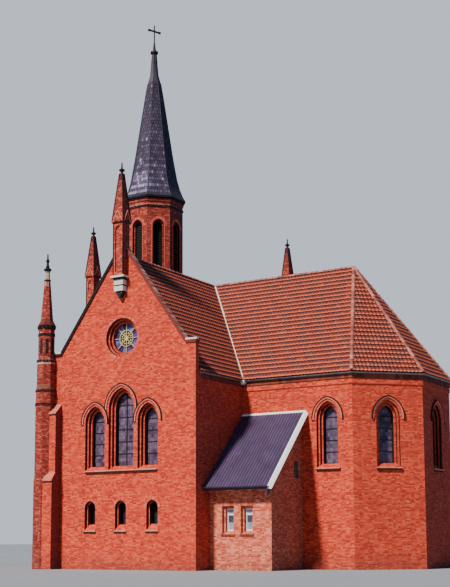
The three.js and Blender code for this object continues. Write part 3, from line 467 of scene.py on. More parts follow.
class Form:
    """One piece, gathered from many small closed or open shapes."""
    every = []

    def __init__(self, name, finish, slot):
        self.name, self.finish, self.slot = name, finish, slot
        self.points, self.faces = [], []
        self.falls, self.tints, self.smooth = [], [], []
        Form.every.append(self)

    def add(self, points, faces, place=None, tint=0.5, smooth=False, falls=None):
        base = len(self.points)
        self.points.extend([place @ Vector(point) for point in points] if place else points)
        self.falls.extend(falls or [0.5] * len(points))
        self.faces.extend([tuple(base + i for i in face) for face in faces])
        self.tints.extend([tint] * len(faces))
        self.smooth.extend([smooth] * len(faces))

    def block(self, x, y, z, place=None, tint=0.5):
        self.add([(a, b, c) for c in z for b in y for a in x], BOX_FACES, place, tint)

    def prism(self, outline, near, far, place=None, tint=0.5):
        """An outline in the wall's plane, between two depths."""
        count = len(outline)
        points = [(a, near, c) for a, c in outline] + [(a, far, c) for a, c in outline]
        sides = [(i, (i + 1) % count, count + (i + 1) % count, count + i) for i in range(count)]
        faces = [tuple(reversed(range(count))), tuple(range(count, 2 * count))] + sides
        self.add(points, faces, place, tint)

    def sweep(self, sections, place=None, tint=0.5, closed=False, smooth=False):
        """Skins a closed profile carried along a path, with an end cap where the path isn't closed."""
        size = len(sections[0])
        count = len(sections)
        points = [point for section in sections for point in section]
        faces = []
        for i in range(count if closed else count - 1):
            j = (i + 1) % count
            for k in range(size):
                m = (k + 1) % size
                faces.append((i * size + k, i * size + m, j * size + m, j * size + k))
        if not closed:
            faces.append(tuple(reversed(range(size))))
            faces.append(tuple(range((count - 1) * size, count * size)))
        self.add(points, faces, place, tint, smooth)

    def rod(self, start, end, radius, sides, place=None):
        start, end = Vector(start), Vector(end)
        turn = (end - start).to_track_quat("Z", "Y")
        ring = [turn @ Vector((cos(a), sin(a), 0)) * radius for a in around(sides)]
        self.sweep([[start + offset for offset in ring], [end + offset for offset in ring]], place)

    def make(self):
        mesh = bpy.data.meshes.new(self.name)
        mesh.from_pydata([tuple(point) for point in self.points], [], self.faces)
        mesh.polygons.foreach_set("use_smooth", self.smooth)
        tint = mesh.attributes.new("tint", "FLOAT", "FACE")
        tint.data.foreach_set("value", self.tints)
        fall = mesh.attributes.new("fall", "FLOAT", "POINT")
        fall.data.foreach_set("value", self.falls)
        mesh.materials.append(self.finish)
        mesh.update()
        piece = bpy.data.objects.new(self.name, mesh)
        link(piece)
        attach(piece, "root")


def spun(degrees):
    return Matrix.Rotation(radians(degrees), 4, "Z")


def on_wall(x, y, turn):
    """Axes on a wall's face: x along it, y into it and z up from the ground."""
    return Matrix.Translation((x, y, 0)) @ spun(turn)


def on_octagon(centre, radius, angle):
    """The same axes on a face of an octagon, which looks to the front at angle 0."""
    return Matrix.Translation(centre) @ spun(angle) @ Matrix.Translation((0, -radius, 0))


GABLES = [on_wall(0, -FRONT, 0), on_wall(0, FRONT, 180), on_wall(-WEST, 0, -90)]
SINGLES = [on_wall(-HALF, -6.63, -90), on_wall(-6.63, -HALF, 0), on_wall(10.05, -HALF, 0),
           on_wall(HALF, 6.63, 90), on_wall(6.5, HALF, 180), on_wall(10.05, HALF, 180),
           on_wall(-HALF, 6.63, -90)]
SINGLES += [on_octagon((APSE, 0, 0), HALF, angle + 90) for angle in (-45, 0, 45)]
TOWER_FACES = [on_octagon(TOWER, TOWER_R, angle) for angle in range(0, 360, 45)]
LANCETS = [(place, window) for place in GABLES for window in [CENTRE, *SIDES]]
LANCETS += [(place, SINGLE) for place in SINGLES]
SMALLS = [(place, window) for place in GABLES[:2] for window in SMALL]


def arch(window, offset, foot, steps=12):
    """Right foot, over the point, to left foot of an opening's outline grown by an offset."""
    radius = window.half + window.spread + offset
    end = acos(window.spread / radius)
    angles = [end * i / steps for i in range(steps + 1)]
    right = [(radius * cos(a) - window.spread, window.spring + radius * sin(a)) for a in angles]
    outline = right + [(-a, z) for a, z in reversed(right[:-1])]
    outline = [(window.half + offset, foot)] + outline + [(-window.half - offset, foot)]
    return [(window.x + a, z) for a, z in outline]


def band(first, second, near, far):
    """A rectangular profile from one offset to another, between two depths."""
    return [(first, near), (first, far), (second, far), (second, near)]


def arch_sweep(form, place, window, profile, foot):
    """Carries a profile of (offset from the opening, depth) round an arch."""
    lines = [arch(window, offset, foot) for offset, _ in profile]
    sections = [[(line[i][0], depth, line[i][1]) for line, (_, depth) in zip(lines, profile)]
                for i in range(len(lines[0]))]
    form.sweep(sections, place)


def shell(outer, inner, angles):
    """Radii and angles out along an arc and back on a smaller one."""
    return [(outer, a) for a in angles] + [(inner, a) for a in reversed(angles)]


def round_points(rows, centre=0.0):
    return [(r * cos(a), centre + r * sin(a)) for r, a in rows]


def round_brick(r0, r1, full, i, count, centre):
    """The outline of one of a count of bricks on end along an arc."""
    low, high = [full * (i + t) / count for t in (0.05, 0.95)]
    return round_points([(r0, low), (r1, low), (r1, high), (r0, high)], centre)


BRICK_ON_END = 0.077
PROUD = -0.005
BURIED = 0.03


def arch_bricks(form, place, window, near, far):
    """Bricks on end round an arch, in two arcs that meet at the point."""
    inner = window.half + window.spread
    middle = inner + (near + far) / 2
    end = acos(window.spread / middle)
    count = max(4, round(middle * end / BRICK_ON_END))
    for sign in (1, -1):
        for i in range(count):
            brick = round_brick(inner + near + 0.004, inner + far - 0.004, end, i, count, window.spring)
            points = [(window.x + sign * (a - window.spread), z) for a, z in brick]
            form.prism(points if sign > 0 else points[::-1], PROUD, BURIED, place, random.random())


random.seed(7)


# Pantiles: every tile is its own waved sheet with a lip, cut to valley, hip, parapet and tower

GAUGE = 0.3332
TILE_WIDTH = 0.22
TILE_GAP = 0.004
WAVE = [(0.0, 0.0), (0.3, 0.006), (0.5, 0.03), (0.68, 0.034), (0.88, 0.012), (1.0, 0.0)]
WAVE_SIZE = len(WAVE)
SHEET_FACES = [(i, WAVE_SIZE + i, WAVE_SIZE + i + 1, i + 1) for i in range(WAVE_SIZE - 1)]
HEAD_RISE = 0.012
NOSE_RISE = 0.05
VALLEY_GAP = 0.05
LAP = 0.02
OVERHANG = 0.045
ROOF_END = FRONT - PARAPET - 0.01
WEST_END = WEST - PARAPET - 0.01


def tile_slope(form, place, ends_at, skip=None):
    """Tiles one slope. In its own axes the ridge runs along x at y = 0 and the eave lies at y = -EDGE."""
    length = EDGE * SLANT
    courses = round(length / GAUGE)
    gauge = length / courses
    along = Vector((1, 0, 0))
    down = Vector((0, -1 / SLANT, -PITCH / SLANT))
    out = Vector((0, -PITCH / SLANT, 1 / SLANT))
    origin = Vector((0, 0, RIDGE))
    lows, highs = zip(ends_at(0), ends_at(EDGE))
    for course in range(courses):
        foot = length - course * gauge + (LAP if course else OVERHANG)
        head = max(0.02, length - (course + 1) * gauge)
        ends = [ends_at(s / SLANT) for s in (head, foot)]
        for column in range(floor(min(lows) / TILE_WIDTH), ceil(max(highs) / TILE_WIDTH)):
            left = column * TILE_WIDTH
            if left + TILE_WIDTH <= min(e[0] for e in ends) or left >= max(e[1] for e in ends):
                continue
            middle = place @ (origin + along * (left + TILE_WIDTH / 2) + down * (head + foot) / 2)
            if skip and skip(middle):
                continue
            lift = random.uniform(-0.004, 0.004)
            drop = random.uniform(-0.006, 0.006)
            head_edge = (head, HEAD_RISE, ends[0])
            nose_edge = (foot + drop, NOSE_RISE + lift, ends[1])
            lip_edge = (foot + drop, HEAD_RISE + lift, ends[1])
            points = []
            for s, rise, (low, high) in (head_edge, nose_edge, nose_edge, lip_edge):
                for t, wave in WAVE:
                    a = min(max(left + t * (TILE_WIDTH - TILE_GAP), low), high)
                    points.append(origin + along * a + down * s + out * (rise + wave))
            tint = min(1.0, max(0.0, random.gauss(0.5, 0.16)))
            # Falls run from the head to the nose and carry the painted shadow and highlight; the lip keeps the
            # head's value, so it is painted dark as shade
            falls = [0.0] * WAVE_SIZE + [1.0] * WAVE_SIZE
            form.add(points[:2 * WAVE_SIZE], SHEET_FACES, place, tint, True, falls)
            form.add(points[2 * WAVE_SIZE:], SHEET_FACES, place, tint, True, [0.0] * (2 * WAVE_SIZE))


def in_tower(point):
    across, along = abs(point.x - TOWER.x), abs(point.y - TOWER.y)
    return max(across, along, (across + along) / sqrt(2)) < TOWER_R - 0.1


def valley_slope(name, turn, reach, flare, to_left, skip=None):
    """A slope from a valley out to a parapet, or to a hip that flares; to_left puts that end at low x."""
    form = Form(name, TILE, "roof_tile")

    def ends_at(h):
        ends = h + VALLEY_GAP, reach + h * flare
        return (-ends[1], -ends[0]) if to_left else ends

    tile_slope(form, spun(turn), ends_at, skip)


for arm, turn, reach, flare, to_left, skip in (
        ("front_east", 90, ROOF_END, 0.0, True, None),
        ("front_west", -90, ROOF_END, 0.0, False, None),
        ("north_east", 90, ROOF_END, 0.0, False, None),
        ("north_west", -90, ROOF_END, 0.0, True, None),
        ("west_south", 0, WEST_END, 0.0, True, None),
        ("west_north", 180, WEST_END, 0.0, False, in_tower),
        ("choir_south", 0, APSE, TAN, False, None),
        ("choir_north", 180, APSE, TAN, True, None)):
    valley_slope("pantiles_" + arm, turn, reach, flare, to_left, skip)

apse = Form("pantiles_apse", TILE, "roof_tile")
for angle in (45, 90, 135):
    tile_slope(apse, Matrix.Translation((APSE, 0, 0)) @ spun(angle), lambda h: (-h * TAN, h * TAN))


# Ridge and hip tiles, and mortar in the valleys

RIDGE_TILE_LENGTH = 0.38
COLLAR = [(0.0, 1.12), (0.13, 1.12), (0.14, 1.0), (1.06, 0.95)]
HALF_ROUND = [pi * k / 8 for k in range(9)]


def ridge_tiles(form, start, end, radius=0.125):
    """Half-round tiles, each with a collar at its start and its tail under the next."""
    start, end = Vector(start), Vector(end)
    length = (end - start).length
    count = max(1, round(length / RIDGE_TILE_LENGTH))
    forward = (end - start).normalized()
    side = forward.cross(Vector((0, 0, 1))).normalized()
    up = side.cross(forward)
    for i in range(count):
        tint = random.random()
        sections = []
        for t, grow in COLLAR:
            middle = start + forward * ((i + t) * length / count)
            rows = shell(radius * grow, radius * grow - 0.02, HALF_ROUND)
            sections.append([middle + (side * cos(a) + up * sin(a)) * r for r, a in rows])
        form.sweep(sections, tint=tint)


ridges = Form("ridge_tiles", RIDGE_TILE, "roof_tile")
for x, y in ((0, -ROOF_END), (0, ROOF_END), (-WEST_END, 0), (APSE, 0)):
    ridge_tiles(ridges, (x, y, RIDGE - 0.03), (0, 0, RIDGE - 0.03))
for angle in (-67.5, -22.5, 22.5, 67.5):
    reach = EDGE / cos(pi / 8)
    a = radians(angle)
    foot = (APSE + reach * cos(a), reach * sin(a), RIDGE - PITCH * EDGE)
    ridge_tiles(ridges, foot, (APSE, 0, RIDGE), 0.11)

VALLEY_HEAD = 0.12
VALLEY_STEPS = 40
valleys = Form("valley_mortar", MORTAR, "pale_stone")
for sx, sy in ((1, -1), (1, 1), (-1, 1), (-1, -1)):
    sections = []
    for i in range(VALLEY_STEPS + 1):
        h = VALLEY_HEAD + (EDGE - VALLEY_HEAD) * i / VALLEY_STEPS
        wide = (0.055 if h < 1.9 else 0.034) + random.uniform(-0.006, 0.006)
        z = RIDGE - PITCH * h
        middle = Vector((sx * h, sy * h, z + 0.15))
        east = Vector((sx * (h + wide), sy * (h - wide * 0.15), z + 0.165))
        north = Vector((sx * (h - wide * 0.15), sy * (h + wide), z + 0.165))
        below = Vector((sx * h, sy * h, z - 0.02))
        sections.append([east, middle, north, below])
    valleys.sweep(sections)


# Gutters under the eaves, on brackets, with a head at each valley's foot

EAVE_Z = RIDGE - PITCH * EDGE - 0.1
GUTTER_R = 0.075
GUTTER_WALL = 0.008
GUTTER_OUT = GUTTER_R + 0.01
BRACKET_R = GUTTER_R + 0.006
BRACKET_PITCH = 0.8
LOWER_ROUND = [pi * (1 + k / 8) for k in range(9)]


def gutter_path(form, path, z=EAVE_Z):
    """A half-round trough along a path at the eave; each corner is mitred."""
    path = [Vector((x, y, z)) for x, y in path]
    sections = []
    for i, corner in enumerate(path):
        before = (corner - path[i - 1]).normalized() if i else None
        after = (path[i + 1] - corner).normalized() if i < len(path) - 1 else None
        sides = [Vector((step.y, -step.x, 0)) for step in (before, after) if step]
        side = sum(sides, Vector()).normalized()
        side = side / side.dot(sides[0])
        middle = corner + side * GUTTER_OUT
        rows = shell(GUTTER_R, GUTTER_R - GUTTER_WALL, LOWER_ROUND)
        sections.append([middle + side * cos(a) * r + Vector((0, 0, sin(a) * r)) for r, a in rows])
    form.sweep(sections)
    for start, end in zip(path, path[1:]):
        run = end - start
        step = run.normalized()
        side = Vector((step.y, -step.x, 0))
        count = max(1, round(run.length / BRACKET_PITCH))
        for i in range(count):
            at = start + run * ((i + 0.5) / count)
            for k in range(4):
                angles = [pi * (1 + (k + t) / 4) for t in (0, 1)]
                ends = [at + side * (GUTTER_OUT + cos(a) * BRACKET_R)
                        + Vector((0, 0, sin(a) * BRACKET_R)) for a in angles]
                form.rod(ends[0], ends[1], 0.011, 6)


SHORT = EDGE + 0.1
TOWER_SIDE = -6.7
HIP = EDGE * TAN
gutters = Form("eaves_gutters", ZINC, "sheet_metal")
for path in (
        [(EDGE, -ROOF_END), (EDGE, -SHORT)],
        [(SHORT, -EDGE), (APSE + HIP, -EDGE), (APSE + EDGE, -HIP), (APSE + EDGE, HIP), (APSE + HIP, EDGE),
         (SHORT, EDGE)],
        [(EDGE, SHORT), (EDGE, ROOF_END)],
        [(-EDGE, ROOF_END), (-EDGE, SHORT)],
        [(-SHORT, EDGE), (TOWER_SIDE, EDGE)],
        [(-WEST_END, -EDGE), (-SHORT, -EDGE)],
        [(-EDGE, -SHORT), (-EDGE, -ROOF_END)]):
    gutter_path(gutters, path)

HEAD_HALF = 0.13
HEAD_SECTIONS = [(-0.2, 0.6), (-0.1, 1.0), (0.02, 1.0), (0.02, 0.9), (-0.08, 0.85)]
heads = Form("gutter_heads", WHITE, "white_paint")
for sx, sy in ((1, -1), (1, 1), (-1, -1), (-1, 1)):
    outline = [(a * HEAD_HALF, b * HEAD_HALF) for a, b in ((-1, -1), (1, -1), (1, 1), (-1, 1))]
    heads.sweep([[(sx * (EDGE + 0.09) + a * grow, sy * (EDGE + 0.09) + b * grow, EAVE_Z + rise)
                  for a, b in outline] for rise, grow in HEAD_SECTIONS])


# Window dressings: profiles are pairs of the offset from the opening and the depth

ARCH_DEPTH = 0.118
HOOD_CHAMFER = [(0.118, 0.01), (0.118, -0.03), (0.15, -0.07), (0.19, -0.07), (0.19, 0.01)]
HOOD_RIM = band(0.19, 0.255, 0.01, -0.085)
BELFRY_ORDER = [(0.0, 0.01), (0.02, -0.03), (0.06, -0.03), (0.08, 0.01)]
SHADE_STRIP_NEAR = 0.035
ROSE_BRICKS = (1.07, 1.19)
ROSE_BRICK_COUNT = 88
light_hoods = Form("hood_mould_chamfers", HOOD_LIGHT, "red_brick")
orders = Form("moulded_orders", ORDER_BRICK, "red_brick")
dark_hoods = Form("hood_mould_rims", HOOD_DARK_AND_SHADE, "dark_brick")
voussoirs = Form("arch_bricks", VOUSSOIR, "red_brick")
# Dark strips in the reveals of lancets, small windows and belfry openings, deepest next to the glass, are
# painted shade
reveal_shade_strips = Form("jamb_shade_strips", HOOD_DARK_AND_SHADE, "dark_brick")
for place, window in LANCETS:
    hood_foot = window.spring - 0.1
    arch_sweep(light_hoods, place, window, HOOD_CHAMFER, hood_foot)
    arch_sweep(dark_hoods, place, window, HOOD_RIM, hood_foot - 0.02)
    arch_bricks(voussoirs, place, window, 0.0, ARCH_DEPTH)
    for step, far in enumerate((STEP - 0.01, STEP * 2 - 0.01, GLASS_Y - 0.05)):
        offset = -0.12 * step
        profile = band(offset, offset - 0.014, STEP * step + SHADE_STRIP_NEAR, far)
        arch_sweep(reveal_shade_strips, place, window, profile, LEDGE_TOP + 0.08 * step)
for place, window in SMALLS:
    arch_bricks(voussoirs, place, window, 0.0, 0.13)
    arch_sweep(reveal_shade_strips, place, window, band(0.0, -0.014, 0.04, 0.17), 2.1)
    arch_sweep(orders, place, window, band(0.0, -0.09, 0.18, 0.36), 2.12)
    arch_sweep(reveal_shade_strips, place, window, band(-0.09, -0.1, 0.2, 0.35), 2.2)
for place in GABLES:
    for i in range(ROSE_BRICK_COUNT):
        brick = round_brick(*ROSE_BRICKS, 2 * pi, i, ROSE_BRICK_COUNT, ROSE_Z)
        voussoirs.prism(brick, PROUD, BURIED, place, random.random())
for place in TOWER_FACES:
    for offset, near, far in ((0.0, SHADE_STRIP_NEAR, 0.145), (-0.1, 0.19, 0.26)):
        arch_sweep(reveal_shade_strips, place, BELFRY, band(offset, offset - 0.012, near, far), BELFRY_SILL)
    arch_bricks(voussoirs, place, BELFRY, 0.09, 0.2)
    arch_sweep(orders, place, BELFRY, BELFRY_ORDER, BELFRY_SILL)
arch_bricks(voussoirs, GABLES[2], DOOR, 0.0, 0.24)


def circle_band(form, place, radius, width, near, far, steps=48, centre=ROSE_Z):
    """A ring of rectangular section round a point on a wall."""
    profile = band(radius, radius + width, far, near)
    form.sweep([[(r * cos(a), y, centre + r * sin(a)) for r, y in profile] for a in around(steps)], place,
               closed=True)


# Rings of dark strips in the rose's reveals are painted shade
for place in GABLES:
    circle_band(reveal_shade_strips, place, 1.04, 0.035, SHADE_STRIP_NEAR, STEP - 0.005)
    circle_band(reveal_shade_strips, place, 0.92, 0.035, STEP + SHADE_STRIP_NEAR, 2 * STEP - 0.005)
    circle_band(reveal_shade_strips, place, 0.8, 0.03, 2 * STEP + SHADE_STRIP_NEAR, GLASS_Y - 0.15)

# Rose: tracery and stained panels; a panel's tint picks its colour

TRACERY = (GLASS_Y - 0.14, GLASS_Y - 0.06)
DOT = (TRACERY[0] + 0.02, TRACERY[1])
PANEL = (GLASS_Y - 0.07, GLASS_Y - 0.001)
HUB_R = 0.115
PETAL_R = 0.44
LIGHT_R = 0.8
VIOLETS = (0.05, 0.2, 0.32)
AMBER = 0.5
DARK_RED = 0.65
GOLD = 0.95
tracery = Form("rose_tracery", CREAM, "pale_stone")
panels = Form("rose_panels", ROSE_GLASS, "window_glass")
for place in GABLES:
    circle_band(tracery, place, 0.43, 0.026, *TRACERY)
    circle_band(tracery, place, 0.105, 0.02, *TRACERY, steps=24)
    middle = place @ Matrix.Translation((0, 0, ROSE_Z))
    for i in range(8):
        a = pi * i / 4
        tracery.block((0.12, 0.815), TRACERY, (-0.011, 0.011), middle @ Matrix.Rotation(-a, 4, "Y"))
        dot = [(0.3 + x, z) for x, z in round_points([(0.04, t) for t in around(8)])]
        tracery.prism(dot, *DOT, middle @ Matrix.Rotation(-a - pi / 8, 4, "Y"))
    for i in range(16):
        a0, a1, a2 = [pi * (i + t) / 8 for t in (0, 0.5, 1)]
        light = [(PETAL_R, a0), (LIGHT_R, a0), (LIGHT_R, a1), (LIGHT_R, a2), (PETAL_R, a2), (PETAL_R, a1)]
        panels.prism(round_points(light, ROSE_Z), *PANEL, place, VIOLETS[i % 3])
        petal = [(HUB_R, a0), (PETAL_R, a0), (PETAL_R, a1), (PETAL_R, a2), (HUB_R, a2)]
        panels.prism(round_points(petal, ROSE_Z), *PANEL, place, AMBER if i % 4 == 1 else DARK_RED)
    hub = round_points([(HUB_R, t) for t in around(20)], ROSE_Z)
    panels.prism(hub, DOT[0], PANEL[1], place, GOLD)


# Window bars

JAMB_STEPS = 0.24
SIDE_PITCH = 0.62
CENTRE_PITCH = 0.66


def reach_at(window, z):
    """Half the width of an opening at a height in its arch, or all of it below."""
    if z <= window.spring:
        return window.half
    radius = window.half + window.spread
    return sqrt(radius ** 2 - (z - window.spring) ** 2) - window.spread


def level_bar(form, place, window, z, depths, thick):
    reach = reach_at(window, z)
    form.block((window.x - reach, window.x + reach), depths, (z - thick, z + thick), place)


def lancet_bars(form, place, lancet, pitch, mullion):
    """A rim, level bars and, in the wide light, a mullion, just outside the glass."""
    light = lancet._replace(half=lancet.half - JAMB_STEPS)
    near, far = GLASS_Y - 0.035, GLASS_Y - 0.002
    arch_sweep(form, place, light, band(-0.03, 0.0, far, near), GLASS_FOOT)
    top = light.spring + sqrt((light.half + light.spread) ** 2 - light.spread ** 2)
    z = GLASS_FOOT + 0.02
    level_bar(form, place, light, z, (near, far), 0.02)
    z += pitch
    while z < top - 0.25:
        level_bar(form, place, light, z, (near, far), 0.015)
        z += pitch
    if mullion:
        form.block((light.x - 0.02, light.x + 0.02), (near - 0.01, far), (GLASS_FOOT, top - 0.04), place)


gable_bars = Form("gable_window_bars", IRON, "iron")
for place in GABLES:
    lancet_bars(gable_bars, place, CENTRE, CENTRE_PITCH, True)
    for lancet in SIDES:
        lancet_bars(gable_bars, place, lancet, SIDE_PITCH, False)
side_bars = Form("side_window_bars", IRON, "iron")
for place in SINGLES:
    lancet_bars(side_bars, place, SINGLE, SIDE_PITCH, False)

PANE_FOOT = 2.42
SMALL_BAR_HEIGHTS = (2.78, 3.12, 3.44)
small_bars = Form("small_window_bars", IRON, "iron")
small_panes = Form("small_window_panes", DARK_GLASS, "window_glass")
for place, window in SMALLS:
    x, half = window.x, window.half
    near, far = GLASS_Y - 0.045, GLASS_Y - 0.003
    arch_sweep(small_bars, place, window, band(-0.05, 0.0, far, near), PANE_FOOT - 0.01)
    small_bars.block((x - half, x + half), (near, far), (PANE_FOOT, 2.47), place)
    small_bars.block((x - 0.015, x + 0.015), (near + 0.01, far), (2.43, 3.64), place)
    for z in SMALL_BAR_HEIGHTS:
        level_bar(small_bars, place, window, z, (near + 0.01, far), 0.012)
    pane = arch(window._replace(half=half - 0.005), 0.0, PANE_FOOT)
    small_panes.prism(pane, GLASS_Y - 0.01, GLASS_Y - 0.001, place)


# Tower: slates in courses, hip rolls, and dark louvre boards in the belfry openings

SPIRE = [(2.12, 25.285), (1.945, 25.6), (1.75, 26.12), (1.55, 26.88), (1.275, 28.52), (0.64, 32.95),
         (0.445, 34.2)]
SPIRE_PARTS = list(zip(SPIRE, SPIRE[1:]))
SPIRE_LENGTH = sum(hypot(r1 - r0, z1 - z0) for (r0, z0), (r1, z1) in SPIRE_PARTS)
SLATE_COURSES = round(SPIRE_LENGTH / 0.26)
SLATE_LAP = 1.06
SLATE_PITCH = 0.18
SLATE_GAP = 0.03


def spire_point(s):
    """Radius and height at a distance up the slope, with the slope's direction."""
    for (r0, z0), (r1, z1) in SPIRE_PARTS:
        part = hypot(r1 - r0, z1 - z0)
        if s <= part or (r1, z1) == SPIRE[-1]:
            t = s / part
            return r0 + (r1 - r0) * t, z0 + (z1 - z0) * t, (r1 - r0) / part, (z1 - z0) / part
        s -= part


def course_tint(course, face, z):
    """The first course is dark; on the two sunlit faces every second one is pale as painted highlight, most of
    all low down.
    """
    tint = 0.28 + random.uniform(-0.07, 0.07)
    if course % 2 and face < 2:
        tint += 0.3 if z < 28.0 else (0.18 if z < 30.5 else 0.05)
    if face == 0 and z < 26.8:
        tint += 0.25
    return tint if course else 0.0


slates = Form("spire_slates", SLATE, "slate")
for face in range(8):
    place = on_octagon(TOWER, 0.0, 45 * face)
    for course in range(SLATE_COURSES):
        s0 = SPIRE_LENGTH * course / SLATE_COURSES
        s1 = min(SPIRE_LENGTH, s0 + SPIRE_LENGTH / SLATE_COURSES * SLATE_LAP)
        r0, z0, dr, dz = spire_point(s0)
        r1, z1, _, _ = spire_point(s1)
        row = course_tint(course, face, z0)
        shift = (course % 2) * SLATE_PITCH / 2
        reach0, reach1 = r0 * TAN, r1 * TAN
        columns = ceil(reach0 / SLATE_PITCH) + 1
        for column in range(-columns, columns):
            left = column * SLATE_PITCH + shift
            right = left + SLATE_PITCH - SLATE_GAP
            if right <= -reach0 or left >= reach0:
                continue
            jog = random.uniform(-0.01, 0.01)
            lift = random.uniform(0.0, 0.01)
            low = [max(-reach0, min(reach0, a)) for a in (left, right)]
            top = [max(-reach1, min(reach1, a)) for a in (left, right)]
            corners = [(a, r0, z0 + jog, 0.02 + lift) for a in low]
            corners += [(a, r1, z1, 0.006) for a in top]
            corners += [(a, r0, z0 + jog, 0.002) for a in low]
            points = [(a, -(r + dz * out), z - dr * out) for a, r, z, out in corners]
            # Tints spread wider on the two sunlit faces, as painted highlight and shade
            tint = min(0.92, max(0.0, random.gauss(row, 0.17 if face < 2 else 0.11)))
            slates.add(points, [(0, 1, 3, 2)], place, tint)
            # Each slate's edges and underside take the darkest tint, as painted shade
            slates.add(points, [(4, 5, 1, 0), (4, 0, 2), (5, 3, 1)], place, 0.0)

HIP_STEPS = 46
hips = Form("spire_hip_rolls", LEAD, "lead")
for corner in range(8):
    a = radians(45 * corner + 22.5)
    outward = Vector((cos(a), sin(a), 0))
    side = Vector((-sin(a), cos(a), 0))
    sections = []
    for i in range(HIP_STEPS + 1):
        r, z, _, _ = spire_point(SPIRE_LENGTH * i / HIP_STEPS)
        reach = r / cos(pi / 8) + 0.012
        middle = TOWER + Vector((reach * cos(a), reach * sin(a), z))
        sections.append([middle + outward * 0.018 * cos(t) + side * 0.022 * sin(t)
                         for t in around(8)])
    hips.sweep(sections, smooth=True)

LOUVRE_FRONT = (0.27, 0.0)
LOUVRE_BACK = (0.43, 0.15)
LOUVRE_HALF = 0.308
LOUVRE_ARC = 0.39
LOUVRE_PITCH = 0.12
LOUVRE_TOP = 23.42
LOUVRE_FACES = [(0, 1, 2, 3), (7, 6, 5, 4), (4, 5, 1, 0), (5, 6, 2, 1), (6, 7, 3, 2), (7, 4, 0, 3)]
louvres = Form("belfry_louvres", LOUVRE, "oak")
for place in TOWER_FACES:
    z = BELFRY_SILL + 0.02
    while z < LOUVRE_TOP:
        reach = LOUVRE_HALF
        rise = z + 0.1 - BELFRY.spring
        if rise > 0:
            reach = sqrt(max(0.0, LOUVRE_ARC ** 2 - rise ** 2)) - BELFRY.spread
        if reach > 0.03:
            board = []
            for lift in (0.0, 0.02):
                for (y, up), ends in ((LOUVRE_FRONT, (-reach, reach)), (LOUVRE_BACK, (reach, -reach))):
                    board += [(x, y, z + up + lift) for x in ends]
            louvres.add(board, LOUVRE_FACES, place, random.random())
        z += LOUVRE_PITCH


# Pinnacles: dark hips, and dark rods down the front corners as painted shade with knobs over them, and pale
# edges on the gablets

SHADE_ROD_FOOT = 15.98
GABLET_FOOT = 18.87
GABLET_TOP = 19.51
GABLET_EDGE = 0.035
PINNACLE_Y = -0.1
KNOB = [(0.03, 18.84), (0.06, 18.88), (0.06, 18.95), (0.03, 18.99)]
HIP_FOOT = (0.38, 0.368, 18.97)
HIP_TOP = (0.095, 0.092, 21.7)
SHADE_ROD = (0.318, -0.388)
SHADE_ROD_TOP = 18.86


def gablet_edge(form, place, half, near):
    outline = [(half, GABLET_FOOT), (half + GABLET_EDGE, GABLET_FOOT), (0, GABLET_TOP + GABLET_EDGE * 2),
               (-half - GABLET_EDGE, GABLET_FOOT), (-half, GABLET_FOOT), (0, GABLET_TOP)]
    form.prism(outline[::-1], near, near + 0.035, place)


knobs = Form("pinnacle_hips", HOOD_DARK_AND_SHADE, "dark_brick")
edges = Form("gablet_edges", HOOD_LIGHT, "red_brick")
for place in GABLES:
    for x in (-1, 1):
        for y in (-1, 1):
            rings = [(round_points([(r, t) for t in around(8)], PINNACLE_Y + y * 0.34), z) for r, z in KNOB]
            knobs.sweep([[(x * 0.36 + a, b, z) for a, b in ring] for ring, z in rings], place)
            ends = [(x * a, PINNACLE_Y + y * b, z) for a, b, z in (HIP_FOOT, HIP_TOP)]
            knobs.rod(*ends, 0.038, 6, place)
            # The dark rods down the front corners are painted shade on the shaft's corners
            if y < 0:
                ends = [(x * SHADE_ROD[0], SHADE_ROD[1], z) for z in (SHADE_ROD_FOOT, SHADE_ROD_TOP)]
                knobs.rod(*ends, 0.042, 8, place)
    gablet_edge(edges, place, 0.34, -0.49)
    gablet_edge(edges, place, 0.34, 0.255)
    for sign in (-1, 1):
        gablet_edge(edges, place @ Matrix.Translation((0, PINNACLE_Y, 0)) @ spun(sign * 90), 0.306, -0.42)

TURRET = (-5.1, -FRONT - 0.25, 0)
TURRET_R = 0.44
SLOT = Opening(0.0, 0.085, 12.72, 0.04)
SLOT_FOOT = 12.0
# Dark plates over the turret's slots are painted shade of the slot openings
turret_slot_shade = Form("turret_slot_shade", HOOD_DARK_AND_SHADE, "dark_brick")
for i in range(8):
    turret_slot_shade.prism(arch(SLOT, 0.0, SLOT_FOOT, 4), -0.004, 0.02, on_octagon(TURRET, TURRET_R, 45 * i))


# Pale capstones on the gables' shoulders

caps = Form("kneeler_caps", STONE, "pale_stone")
for place in GABLES:
    for x in ((-4.9, -4.2), (4.2, 4.9)):
        caps.block(x, (-0.075, 0.14), (11.99, 12.085), place)


# Annex: standing seams, boxed verge, flashing, gutter, panes and bricks over and under the windows

SHEET_EDGE = ANNEX_VERGE + 0.15
RIB_PITCH = 0.176
RIB_PARTS = ((0.04, 0.0, 0.02), (0.026, 0.018, 0.045))
BOXED_VERGE = [(ANNEX_VERGE + 0.03, -0.16), (ANNEX_VERGE + 0.03, 0.01), (SHEET_EDGE - 0.01, 0.02),
               (SHEET_EDGE, 0.06), (SHEET_EDGE + 0.02, 0.06), (SHEET_EDGE + 0.17, -0.12),
               (SHEET_EDGE + 0.15, -0.16)]


def annex_top(y):
    return ANNEX_EAVE_Z + ANNEX_PITCH * (y - ANNEX_EAVE_Y)


def annex_strip(form, x, y, lifts):
    """A strip of an even thickness that lies on the annex's roof."""
    form.add([(a, b, annex_top(b) + lift) for lift in lifts for b in y for a in x], BOX_FACES)


ribs = Form("annex_roof_ribs", RIB_PAINT, "sheet_metal")
rib_x = HALF + 0.1
while rib_x < SHEET_EDGE:
    for wide, low, high in RIB_PARTS:
        annex_strip(ribs, (rib_x - wide, rib_x + wide), (ANNEX_EAVE_Y - 0.02, -HALF - 0.002), (low, high))
    rib_x += RIB_PITCH

